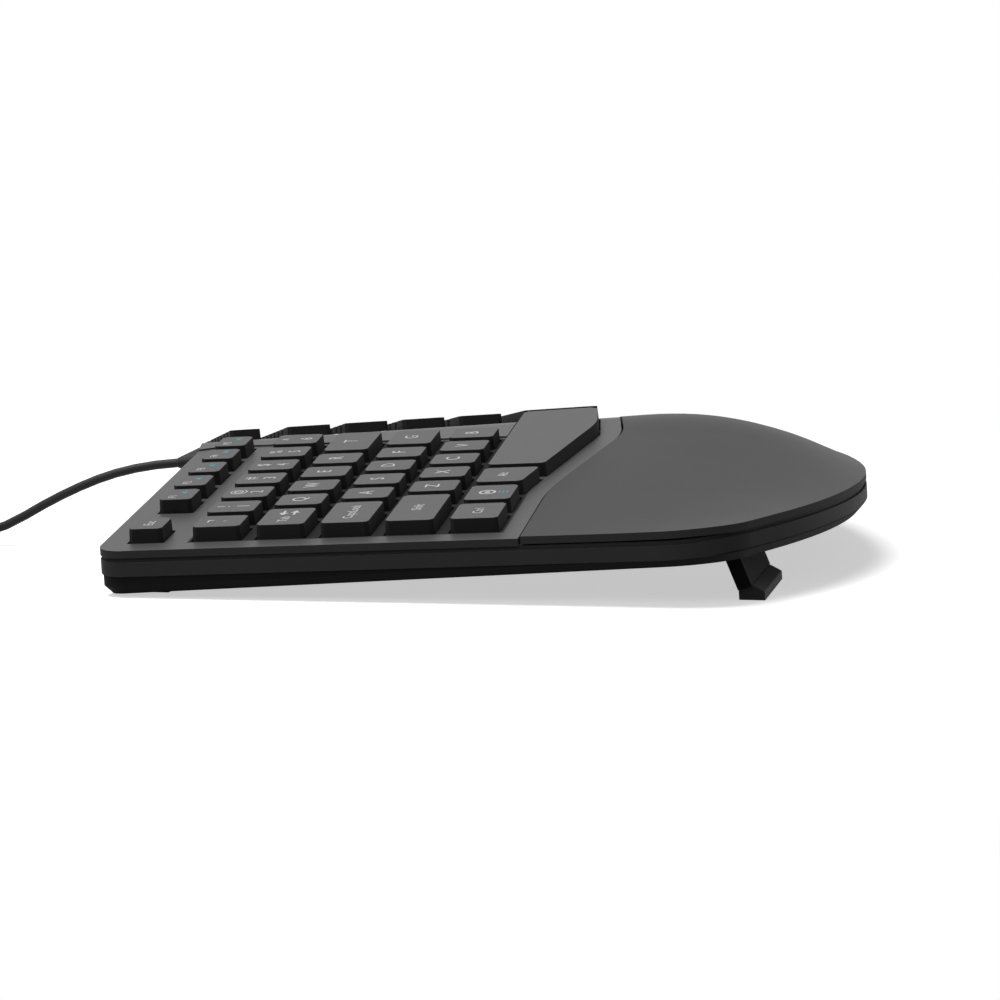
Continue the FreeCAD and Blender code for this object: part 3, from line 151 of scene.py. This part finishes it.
def moulded(name, colour, roughness, grain=0.0, grain_size=2500.0, shade=0.08, shade_size=18.0,
            metallic=0.0, specular=0.2, rough_spread=0.06, wall=None, painted_rib_shade=None):
    """A moulded or rolled surface: slow changes of shade and gloss, and a fine grain.

    The wall share scales the colour of steep faces, a painted shade (a painted light where the share is above
    one), and the ribs' share that of the ribs between the keys, a painted shade where the caps shade the deck.
    Both places are dull."""
    material, made, links, shader = new_material(name)
    place = made.new("ShaderNodeTexCoord")
    cloud = made.new("ShaderNodeTexNoise")
    cloud.inputs["Scale"].default_value = shade_size
    cloud.inputs["Detail"].default_value = 3.0
    links.new(place.outputs["Object"], cloud.inputs["Vector"])
    ramp = made.new("ShaderNodeValToRGB")
    darkest, lightest = ramp.color_ramp.elements
    darkest.position, lightest.position = CLOUD_LOW, CLOUD_HIGH
    darkest.color = [c * (1 - shade) for c in colour] + [1]
    lightest.color = [min(1, c * (1 + shade)) for c in colour] + [1]
    links.new(cloud.outputs["Fac"], ramp.inputs["Fac"])
    shown = ramp.outputs["Color"]
    gloss = spread(made, links, cloud.outputs["Fac"], roughness - rough_spread, roughness + rough_spread)
    painted_light_and_shade_places = []
    # Painted shade on steep faces: their colour is scaled by the wall share, lighter for a share above one, which
    # is painted light
    if wall is not None:
        painted_light_and_shade_places.append((spread(made, links, facing_up(made, links, place), 1.0, 0.0), wall))
    # Painted shade on the ribs between the keys: the deck colour is scaled down inside the key field
    if painted_rib_shade is not None:
        painted_light_and_shade_places.append((key_field(made, links, place), painted_rib_shade))
    for where, share in painted_light_and_shade_places:
        painted_light_and_shade_colour = made.new("ShaderNodeVectorMath")
        painted_light_and_shade_colour.operation = "SCALE"
        links.new(shown, painted_light_and_shade_colour.inputs[0])
        links.new(spread(made, links, where, 1.0, share), painted_light_and_shade_colour.inputs["Scale"])
        shown = painted_light_and_shade_colour.outputs["Vector"]
        duller = made.new("ShaderNodeMix")
        links.new(where, duller.inputs["Factor"])
        links.new(gloss, duller.inputs["A"])
        duller.inputs["B"].default_value = WALL_ROUGHNESS
        gloss = duller.outputs["Result"]
    links.new(shown, shader.inputs["Base Color"])
    links.new(gloss, shader.inputs["Roughness"])
    shader.inputs["Metallic"].default_value = metallic
    shader.inputs["Specular IOR Level"].default_value = specular
    if grain:
        speck = made.new("ShaderNodeTexNoise")
        speck.inputs["Scale"].default_value = grain_size
        speck.inputs["Detail"].default_value = 2.0
        links.new(place.outputs["Object"], speck.inputs["Vector"])
        bump = made.new("ShaderNodeBump")
        bump.inputs["Strength"].default_value = grain
        bump.inputs["Distance"].default_value = GRAIN_DEPTH
        links.new(speck.outputs["Fac"], bump.inputs["Height"])
        links.new(bump.outputs["Normal"], shader.inputs["Normal"])
    return material


# The wall shares paint shade on the walls of the caps and the deck and paint light on the palm rest's walls
MATERIALS = {
    "keycap": moulded("keycap", (0.054, 0.054, 0.0545), 0.47, 0.35, 2600, wall=0.16),
    # The deck's rib share is a painted shade between the keys
    "deck": moulded("deck", (0.056, 0.056, 0.0565), 0.46, 0.30, 2200, wall=0.6, painted_rib_shade=0.08),
    "plate": moulded("plate", (0.044, 0.044, 0.0445), 0.40, 0.15, 2600),
    "palm": moulded("palm", (0.018, 0.018, 0.0182), 0.54, 0.45, 1800, wall=1.8),
    "band": moulded("band", (0.050, 0.050, 0.0505), 0.60, 0.15, 2400, specular=0.04),
    "case": moulded("case", (0.009, 0.009, 0.0092), 0.75, 0.45, 1700, shade=0.2, specular=0.07),
    "lens": moulded("lens", (0.42, 0.42, 0.43), 0.25, shade=0.03),
    "dome": moulded("dome", (0.50, 0.50, 0.47), 0.55, 0.2, 1500),
    "membrane": moulded("membrane", (0.45, 0.52, 0.46), 0.25, 0.1, 600, shade=0.2, shade_size=160),
    "steel": moulded("steel", (0.46, 0.46, 0.47), 0.38, 0.25, 900, metallic=1.0),
    "board": moulded("board", (0.012, 0.085, 0.035), 0.35, 0.3, 900, shade=0.25, shade_size=260),
    "screw": moulded("screw", (0.42, 0.42, 0.43), 0.35, 0.2, 1200, metallic=1.0),
    "pad": moulded("pad", (0.012, 0.012, 0.012), 0.75, 0.6, 1500, shade=0.2),
    "leg": moulded("leg", (0.008, 0.008, 0.0081), 0.75, 0.4, 1800, shade=0.15, specular=0.04),
    "relief": moulded("relief", (0.012, 0.012, 0.012), 0.60, 0.4, 1800, shade=0.2),
    "cord": moulded("cord", (0.013, 0.013, 0.0135), 0.48, 0.25, 1400, shade=0.15),
    "plug": moulded("plug", (0.015, 0.015, 0.0155), 0.50, 0.35, 1800, shade=0.15),
    "shell": moulded("shell", (0.72, 0.72, 0.73), 0.22, 0.08, 700, metallic=1.0, shade=0.04),
    "tongue": moulded("tongue", (0.72, 0.72, 0.70), 0.45, 0.1, 1500, shade=0.04),
    "tie": moulded("tie", (0.014, 0.014, 0.014), 0.80, 0.8, 900, shade=0.2),
}
WHITE_PRINT = moulded("white_print", (0.50, 0.50, 0.50), 0.5, 0.3, 4000, shade=0.05)
TEAL_PRINT = moulded("teal_print", (0.030, 0.25, 0.31), 0.5, 0.3, 4000, shade=0.05)

for part in frame["record"]["subparts"]:
    node = nodes[part["node"]]
    node.data.materials.clear()
    node.data.materials.append(MATERIALS[part["material_slot"]])


# Softened edges on the caps, the legs and the plug

CAP_EDGE, LEG_EDGE = 0.00025, 0.0003
SHARP_ANGLE = math.radians(30)
SAME_POINT = 1e-6


def soften(node, width):
    weld = node.modifiers.new("joined", "WELD")
    weld.merge_threshold = SAME_POINT
    bevel = node.modifiers.new("edges", "BEVEL")
    bevel.width = width
    bevel.segments = 3
    bevel.limit_method = "ANGLE"
    bevel.angle_limit = SHARP_ANGLE
    bevel.harden_normals = True


for name, node in nodes.items():
    if name.startswith("key"):
        soften(node, CAP_EDGE)
for name in ("leg_left", "leg_right", "leg_pad_left", "leg_pad_right", "plug_grip"):
    soften(nodes[name], LEG_EDGE)

# Linings that close the leg recesses toward the palm rest; their corners are measured from the hinge

LINING_LOW = Vector((-0.0329, -0.00575, -0.0010))
LINING_HIGH = Vector((0.0329, 0.02085, 0.00435))
LINING_WALL = 0.0011


def cup_mesh(name, low, high, wall):
    """A box that is hollow and open below."""
    corners = [(low.x, low.y), (high.x, low.y), (high.x, high.y), (low.x, high.y)]
    inner = [(x - math.copysign(wall, x), y + (wall if y < 0 else -wall)) for x, y in corners]
    vertices = [(x, y, z) for z in (low.z, high.z) for x, y in corners]
    vertices += [(x, y, z) for z in (low.z, high.z - wall) for x, y in inner]
    faces = [(4, 5, 6, 7), (15, 14, 13, 12)]
    for i in range(4):
        j = (i + 1) % 4
        faces += [(i, j, 4 + j, 4 + i), (8 + j, 8 + i, 12 + i, 12 + j), (j, i, 8 + i, 8 + j)]
    mesh = bpy.data.meshes.new(name)
    mesh.from_pydata(vertices, [], faces)
    return mesh


for joint in frame["joints"]:
    if joint["type"] == "hinge":
        half = joint["name"].split("_")[-1]
        lining_mesh = cup_mesh("recess_lining_" + half, LINING_LOW, LINING_HIGH, LINING_WALL)
        turn = Euler((0, 0, SIDE[half] * THETA)).to_matrix() @ Euler((SLOPE, 0, 0)).to_matrix()
        lining_mesh.transform(Matrix.Translation(joint["pos_m"]) @ turn.to_4x4())
        lining_mesh.materials.append(MATERIALS["case"])
        lining = bpy.data.objects.new(lining_mesh.name, lining_mesh)
        scene.collection.objects.link(lining)
        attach(lining, "housing")

# Legends, printed on the cap tops

LETTER, DIGIT, WORD, ICON = 0.0062, 0.0056, 0.0042, 0.0038
FUNCTION_WORD = WORD * 0.85
LARGE_ICON = ICON * 1.5
TAB_ICON = ICON * 1.4
PRINT_THICKNESS = 0.00002
PRINTS = {}

# Offsets from the middle of a cap: a pair is to the right and forward, and OUT is outward from the ridge
FUNCTION_WORD_AT = (-0.0028, -0.0014)
FUNCTION_ICON_AT = (0.0032, 0.0010)
RING_FORWARD, RING_LINES_FORWARD = -0.0012, 0.0036
TAB_ICON_OUT, TAB_WORD_OUT = -0.0045, 0.0035
LETTER_FORWARD = -0.0004
SHIFTED_FORWARD, PLAIN_FORWARD = -0.0031, 0.0029


def circle(x, y, radius, count=16):
    angles = [2 * math.pi * i / count for i in range(count)]
    return [(x + radius * math.cos(angle), y + radius * math.sin(angle)) for angle in angles]


def bar(x, y, wide, high):
    left, right, low, high = x - wide / 2, x + wide / 2, y - high / 2, y + high / 2
    return [(left, low), (right, low), (right, high), (left, high)]


def frame_of(wide, high, line):
    return [bar(0, 0, wide, high), bar(0, 0, wide - 2 * line, high - 2 * line)]


def arrow(side):
    """A shaft and a head that point left or right."""
    return [[(-side * 0.5, -0.06), (0, -0.06), (0, -0.26), (side * 0.5, 0), (0, 0.26), (0, 0.06),
             (-side * 0.5, 0.06)]]


def skip(side):
    head = [(-side * 0.4, -0.3), (0, 0), (-side * 0.4, 0.3)]
    return [head, [(x + side * 0.4, y) for x, y in head], bar(side * 0.47, 0, 0.08, 0.6)]


def speaker(waves):
    cone = [(-0.5, -0.15), (-0.3, -0.15), (-0.05, -0.38), (-0.05, 0.38), (-0.3, 0.15), (-0.5, 0.15)]
    return [cone] + [bar(0.12 + 0.17 * i, 0, 0.07, 0.24 + 0.22 * i) for i in range(waves)]


def sun(core):
    ray = [(core + 0.1, -0.04), (0.5, -0.04), (0.5, 0.04), (core + 0.1, 0.04)]
    rays = []
    for i in range(8):
        angle = math.pi * i / 4
        along = Vector((math.cos(angle), math.sin(angle)))
        across = Vector((-math.sin(angle), math.cos(angle)))
        rays.append([tuple(along * r + across * s) for r, s in ray])
    return [circle(0, 0, core)] + rays


# Outlines one unit high; one that lies inside another is a hole in it
ICONS = {
    "mute": speaker(0) + [bar(0.3, 0, 0.4, 0.08)],
    "quieter": speaker(1),
    "louder": speaker(3),
    "back": skip(-1),
    "play": [[(-0.45, -0.3), (0, 0), (-0.45, 0.3)], bar(0.15, 0, 0.1, 0.6), bar(0.38, 0, 0.1, 0.6)],
    "next": skip(1),
    "dim": sun(0.14),
    "bright": sun(0.24),
    "search": [circle(-0.1, 0.1, 0.32), circle(-0.1, 0.1, 0.22),
               [(0.1, -0.17), (0.17, -0.1), (0.48, -0.41), (0.41, -0.48)]],
    "letter": frame_of(1.0, 0.7, 0.08) + [bar(0, 0.05, 0.5, 0.08)],
    "window": frame_of(0.9, 0.75, 0.08) + [bar(0, 0.12, 0.5, 0.08)],
    "home": [[(-0.5, 0), (0, 0.45), (0.5, 0), (0.32, 0), (0.32, -0.42), (-0.32, -0.42), (-0.32, 0)]],
    "ring": [circle(0, 0, 0.46, 24), circle(0, 0, 0.34, 24), circle(0, 0, 0.16)],
    "lines": [bar(0, 0.3 - 0.3 * i, 0.8, 0.1) for i in range(3)],
    "left": arrow(-1),
    "right": arrow(1),
    "up": [[(y, x) for x, y in outline] for outline in arrow(1)],
    "down": [[(y, x) for x, y in outline] for outline in arrow(-1)],
    "tab": [[(x, y + 0.32) for x, y in outline] for outline in arrow(-1)]
        + [[(x, y - 0.32) for x, y in outline] for outline in arrow(1)],
}


def print_mark(half, node, w, v, size, mark, tint=0):
    """A sign, word or icon on a cap top, w outward from the ridge and v forward from the number row's rear."""
    if mark in ICONS:
        curve = bpy.data.curves.new("mark", "CURVE")
        curve.dimensions = "2D"
        curve.fill_mode = "BOTH"
        for outline in ICONS[mark]:
            spline = curve.splines.new("POLY")
            spline.points.add(len(outline) - 1)
            for spot, (x, y) in zip(spline.points, outline):
                spot.co = (x * size, y * size, 0, 1)
            spline.use_cyclic_u = True
    else:
        curve = bpy.data.curves.new("mark", "FONT")
        curve.body = mark
        curve.size = size
        curve.align_x = "CENTER"
        curve.align_y = "CENTER"
        curve.resolution_u = 3
    curve.extrude = PRINT_THICKNESS / 2
    source = bpy.data.objects.new("mark", curve)
    mesh = bpy.data.meshes.new_from_object(source)
    lifted = Matrix.Translation((SIDE[half] * w, -v, KEY_TOP + PRINT_THICKNESS / 2))
    mesh.transform(half_matrix(half) @ lifted)
    PRINTS.setdefault(node, []).append((mesh, tint))
    bpy.data.objects.remove(source)
    bpy.data.curves.remove(curve)


def stacked(half, node, w, v, text):
    """The shifted sign toward the rear and the plain one toward the user."""
    plain, shifted = text
    print_mark(half, node, w, v + SHIFTED_FORWARD, DIGIT, shifted)
    print_mark(half, node, w, v + PLAIN_FORWARD, DIGIT, plain)


FUNCTION_ICONS = ["mute", "quieter", "louder", "back", "play", "next", "dim", "bright", "search", "letter",
                  "window", "home"]


def legend(half, node, w, row, text):
    """What is printed on one cap, whose middle is w outward from the ridge."""
    depth = FUNCTION_DEPTH if row == FUNCTION_ROW else KEY
    v = row * PITCH + depth / 2
    side = SIDE[half]
    if not text:
        return
    if text[0] == "F" and text[1:].isdigit():
        icon = FUNCTION_ICONS[int(text[1:]) - 1]
        (word_across, word_forward), (icon_across, icon_forward) = FUNCTION_WORD_AT, FUNCTION_ICON_AT
        print_mark(half, node, w + side * word_across, v + word_forward, FUNCTION_WORD, text)
        print_mark(half, node, w + side * icon_across, v + icon_forward, ICON, icon, 1)
    elif text == "ring":
        print_mark(half, node, w, v + RING_FORWARD, LARGE_ICON, text)
        print_mark(half, node, w, v + RING_LINES_FORWARD, ICON, "lines", 1)
    elif text == "tab":
        print_mark(half, node, w + TAB_ICON_OUT, v, TAB_ICON, "tab")
        print_mark(half, node, w + TAB_WORD_OUT, v, WORD, "Tab")
    elif text in ICONS:
        print_mark(half, node, w, v, LARGE_ICON, text)
    elif len(text) == 1:
        print_mark(half, node, w, v + LETTER_FORWARD, LETTER, text)
    elif len(text) == 2 and not text[1].isalpha():
        stacked(half, node, w, v, text)
    else:
        print_mark(half, node, w, v, WORD, text)


# Rows from the function row forward, each from left to right: node, width in pitches, legend
FUNCTION_ROW = -1
LEFT = {
    FUNCTION_ROW: [("key_escape", 1, "Esc"), ("", 1, "")]
        + [("keys_function_left", 1, "F%d" % n) for n in range(1, 6)],
    0: [("keys_number_left", 1, text) for text in ("`¬", "1!", "2@", "3#", "4$", "5%", "6^")],
    1: [("key_tab", 1.345, "tab")] + [("keys_upper_left", 1, text) for text in "QWER"]
        + [("keys_upper_left", 1.655, "T")],
    2: [("key_caps_lock", 1.655, "CapsLock")] + [("keys_home_left", 1, text) for text in "ASDF"]
        + [("keys_home_left", 1.345, "G")],
    3: [("key_shift_left", 2, "Shift")] + [("keys_lower_left", 1, text) for text in "ZXCVB"],
    4: [("key_control_left", 1.27, "Ctrl"), ("key_system_left", 1.25, "ring"),
        ("key_alt_left", 1.27, "Alt")],
}
RIGHT = {
    FUNCTION_ROW: [("keys_function_right", 1, "F%d" % n) for n in range(6, 13)] + [("", 0.5, "")]
        + [("keys_function_end", 1, text) for text in ("Ins", "Prt", "Brk")],
    0: [("keys_number_right", 1.5, "7&")]
        + [("keys_number_right", 1, text) for text in ("8*", "9(", "0)", "-_", "=+")]
        + [("key_backspace", 2, "left"), ("", 1, ""), ("keys_navigation_outer", 1, "Home")],
    1: [("keys_upper_right", 1, text) for text in ("Y", "U", "I", "O", "P", "[{", "]}")]
        + [("", 2.5, ""), ("keys_navigation_outer", 1, "PgUp")],
    2: [("keys_home_right", 1.33, "H")]
        + [("keys_home_right", 1, text) for text in ("J", "K", "L", ";:", "'@", "#~")]
        + [("", 1.17, ""), ("key_navigation_inner", 1, "End"), ("keys_navigation_outer", 1, "PgDn")],
    3: [("keys_lower_right", 1.85, "N")]
        + [("keys_lower_right", 1, text) for text in ("M", ",<", ".>", "/?")]
        + [("key_shift_right", 2.65, "Shift"), ("key_arrow_up", 1, "up"),
           ("keys_navigation_outer", 1, "Lock")],
    4: [("", 2.5, ""), ("key_alt_right", 1.25, "Alt"), ("keys_system_right", 1.25, "ring"),
        ("keys_system_right", 1.25, "lines"), ("key_control_right", 1.25, "Ctrl"),
        ("key_arrow_left", 1, "left"), ("key_arrow_down", 1, "down"), ("key_arrow_right", 1, "right")],
}


ENTER_MIDDLE = 7.915 * PITCH - GAP / 2
TALL_MIDDLE = 8.5 * PITCH + KEY / 2


def print_rows(half, rows, start, outward):
    for row, entries in rows.items():
        edge = start
        for node, units, text in entries:
            legend(half, node, edge + outward * (units * PITCH - GAP) / 2, row, text)
            edge += outward * units * PITCH


def print_legends():
    print_rows("left", LEFT, OUTER["left"], -1)
    print_rows("right", RIGHT, INNER["right"], 1)
    print_mark("right", "key_enter", INNER["right"] + ENTER_MIDDLE, 2 * PITCH, WORD, "Enter")
    print_mark("right", "key_delete_tall", INNER["right"] + TALL_MIDDLE, PITCH - GAP / 2, WORD, "Del")
    for node, marks in PRINTS.items():
        joined = bmesh.new()
        for mesh, tint in marks:
            done = len(joined.faces)
            joined.from_mesh(mesh)
            joined.faces.ensure_lookup_table()
            for face in joined.faces[done:]:
                face.material_index = tint
            bpy.data.meshes.remove(mesh)
        name = "print_" + node
        mesh = bpy.data.meshes.new(name)
        joined.to_mesh(mesh)
        joined.free()
        mesh.materials.append(WHITE_PRINT)
        mesh.materials.append(TEAL_PRINT)
        item = bpy.data.objects.new(name, mesh)
        scene.collection.objects.link(item)
        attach(item, "press_" + node)


print_legends()

# The cord, one curve on the route of the solids: a free run, the coil and the tail to the plug

CORD = 0.003
STEP = CORD + 0.00045
COIL_RADIUS = 0.0216
COIL_TURNS = 6
COIL_LAYERS = 4
RUN = [(-0.0323, 0.10242, 0.02749), (-0.0323, 0.11738, 0.02649), (-0.0317, 0.14055, 0.0175),
       (-0.0303, 0.16555, 0.0024)]
COIL_START = Vector((-0.0303, 0.19355, 0.0024))
PLUG_LEVEL = 0.00392
TAIL = (0.014, 0.036, 0.048)    # how far the route's last points lie beyond the coil
CORNERS = 8


def coil_points():
    """Corners of a polygon round each half turn; the curve that runs along inside them is the layered coil."""
    points = []
    start, radius, toward, change = COIL_START.copy(), COIL_RADIUS, -1, -STEP / 2
    for layer in range(COIL_LAYERS):
        for turn in range(COIL_TURNS + 1):
            climb = STEP if turn == COIL_TURNS and layer < COIL_LAYERS - 1 else 0.0
            centre = start + Vector((toward * radius, 0, 0))
            first = math.pi if toward > 0 else 0.0
            reach = radius / math.cos(math.pi / CORNERS / 2)
            for i in range(CORNERS):
                share = (i + 0.5) / CORNERS
                angle = first + math.pi * share
                across, along = math.cos(angle) * reach, math.sin(angle) * reach
                points.append(centre + Vector((across, along, climb * share)))
            start = centre + Vector((toward * radius, 0, climb))
            toward = -toward
            if turn == COIL_TURNS:
                change = -change
            radius += change
    return points, start


def make_cord():
    winding, end = coil_points()
    tail = [Vector((end.x, end.y + TAIL[0], end.z)), Vector((end.x, end.y + TAIL[1], PLUG_LEVEL)),
            Vector((end.x, end.y + TAIL[2], PLUG_LEVEL))]
    points = [Vector(p) for p in RUN] + winding + tail
    curve = bpy.data.curves.new("cord", "CURVE")
    curve.dimensions = "3D"
    curve.bevel_depth = CORD / 2
    curve.bevel_resolution = 5
    curve.use_fill_caps = True
    spline = curve.splines.new("NURBS")
    spline.points.add(len(points) - 1)
    for spot, point in zip(spline.points, points):
        spot.co = (*point, 1)
    spline.order_u = 3
    spline.use_endpoint_u = True
    spline.resolution_u = 4
    curve.materials.append(MATERIALS["cord"])
    item = bpy.data.objects.new("cord", curve)
    scene.collection.objects.link(item)
    return item


cord = make_cord()
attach(cord, "housing")
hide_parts("cord_run", "cord_coil", "cord_tail")

# Floor and light: the camera sees white, the object is lit from above

WHITE = 1.0
ROOM_LIGHT = 0.10
UNSEEN_FLOOR, SHADOWED_FLOOR = 0.12, 0.80
FLOOR_GLOW = 0.55
WHITE_FROM, WHITE_BY = 0.32, 0.60    # from the origin: where the floor starts to be plain white, and is
FLOOR_HALF_SIDE = 4.0


def seen_directly(made, links):
    """One where a ray comes straight from the camera, or by way of gloss or glass."""
    path = made.new("ShaderNodeLightPath")
    seen = path.outputs["Is Camera Ray"]
    for kind in ("Is Glossy Ray", "Is Transmission Ray"):
        either = made.new("ShaderNodeMath")
        either.operation = "MAXIMUM"
        links.new(seen, either.inputs[0])
        links.new(path.outputs[kind], either.inputs[1])
        seen = either.outputs["Value"]
    return seen


def floor_paint():
    """White where it is seen, with the shadow kept near the object, and a plain grey to all other light."""
    material, made, links, shader = new_material("floor")
    shader.inputs["Base Color"].default_value = [UNSEEN_FLOOR] * 3 + [1]
    shader.inputs["Roughness"].default_value = 0.9
    shader.inputs["Specular IOR Level"].default_value = 0.0
    pale = made.new("ShaderNodeBsdfDiffuse")
    pale.inputs["Color"].default_value = [SHADOWED_FLOOR] * 3 + [1]
    glow = made.new("ShaderNodeEmission")
    glow.inputs["Strength"].default_value = FLOOR_GLOW
    near = made.new("ShaderNodeAddShader")
    links.new(pale.outputs["BSDF"], near.inputs[0])
    links.new(glow.outputs["Emission"], near.inputs[1])
    white = made.new("ShaderNodeEmission")
    white.inputs["Strength"].default_value = WHITE
    place = made.new("ShaderNodeTexCoord")
    distance = made.new("ShaderNodeVectorMath")
    distance.operation = "LENGTH"
    links.new(place.outputs["Object"], distance.inputs[0])
    reach = made.new("ShaderNodeMapRange")
    reach.interpolation_type = "SMOOTHSTEP"
    reach.inputs["From Min"].default_value = WHITE_FROM
    reach.inputs["From Max"].default_value = WHITE_BY
    links.new(distance.outputs["Value"], reach.inputs["Value"])
    seen = made.new("ShaderNodeMixShader")
    links.new(reach.outputs["Result"], seen.inputs["Fac"])
    links.new(near.outputs["Shader"], seen.inputs[1])
    links.new(white.outputs["Emission"], seen.inputs[2])
    mix = made.new("ShaderNodeMixShader")
    links.new(seen_directly(made, links), mix.inputs["Fac"])
    links.new(shader.outputs["BSDF"], mix.inputs[1])
    links.new(seen.outputs["Shader"], mix.inputs[2])
    links.new(mix.outputs["Shader"], made["Material Output"].inputs["Surface"])
    return material


floor_mesh = bpy.data.meshes.new("floor")
floor_signs = [(-1, -1), (1, -1), (1, 1), (-1, 1)]
floor_corners = [(x * FLOOR_HALF_SIDE, y * FLOOR_HALF_SIDE, 0) for x, y in floor_signs]
floor_mesh.from_pydata(floor_corners, [], [(0, 1, 2, 3)])
floor = bpy.data.objects.new("floor", floor_mesh)
scene.collection.objects.link(floor)
floor_mesh.materials.append(floor_paint())

world = bpy.data.worlds.new("studio")
scene.world = world
world.use_nodes = True
world_nodes, world_links = world.node_tree.nodes, world.node_tree.links
room = world_nodes["Background"]
room.inputs["Color"].default_value = (1, 1, 1, 1)
room.inputs["Strength"].default_value = ROOM_LIGHT
sky = world_nodes.new("ShaderNodeBackground")
sky.inputs["Color"].default_value = (1, 1, 1, 1)
sky.inputs["Strength"].default_value = WHITE
world_mix = world_nodes.new("ShaderNodeMixShader")
world_links.new(seen_directly(world_nodes, world_links), world_mix.inputs["Fac"])
world_links.new(room.outputs["Background"], world_mix.inputs[1])
world_links.new(sky.outputs["Background"], world_mix.inputs[2])
world_links.new(world_mix.outputs["Shader"], world_nodes["World Output"].inputs["Surface"])


def area_light(name, place, target, side, energy):
    data = bpy.data.lights.new(name, "AREA")
    data.shape = "SQUARE"
    data.size = side
    data.energy = energy
    item = bpy.data.objects.new(name, data)
    item.location = place
    item.rotation_mode = "QUATERNION"
    item.rotation_quaternion = (Vector(target) - Vector(place)).to_track_quat("-Z", "Y")
    scene.collection.objects.link(item)


area_light("overhead", (-0.15, 0.45, 1.5), (0, 0, 0), side=0.9, energy=24)
area_light("side", (-1.5, 0.7, 0.9), (0, 0, 0), side=0.8, energy=5)

# Camera, matched to the upper view in the photograph

CAMERA_PLACE = (-1.29234, -0.01913, 0.12979)
AZIMUTH, ELEVATION = math.radians(271.0), math.radians(5.185)
FOCAL_PIXELS, PICTURE_PIXELS = 3873.6, 1000
SENSOR_WIDTH = 36.0
PICTURE_SHIFT = 0.017
camera_data = bpy.data.cameras.new("camera")
camera_data.sensor_width = SENSOR_WIDTH
camera_data.lens = FOCAL_PIXELS / PICTURE_PIXELS * SENSOR_WIDTH
camera_data.shift_x = PICTURE_SHIFT
camera = bpy.data.objects.new("camera", camera_data)
scene.collection.objects.link(camera)
camera.location = CAMERA_PLACE
back = Vector((math.sin(AZIMUTH) * math.cos(ELEVATION), -math.cos(AZIMUTH) * math.cos(ELEVATION),
               math.sin(ELEVATION)))
camera.rotation_mode = "QUATERNION"
camera.rotation_quaternion = (-back).to_track_quat("-Z", "Y")
camera_data.clip_start = 0.05
camera_data.clip_end = 20
scene.camera = camera
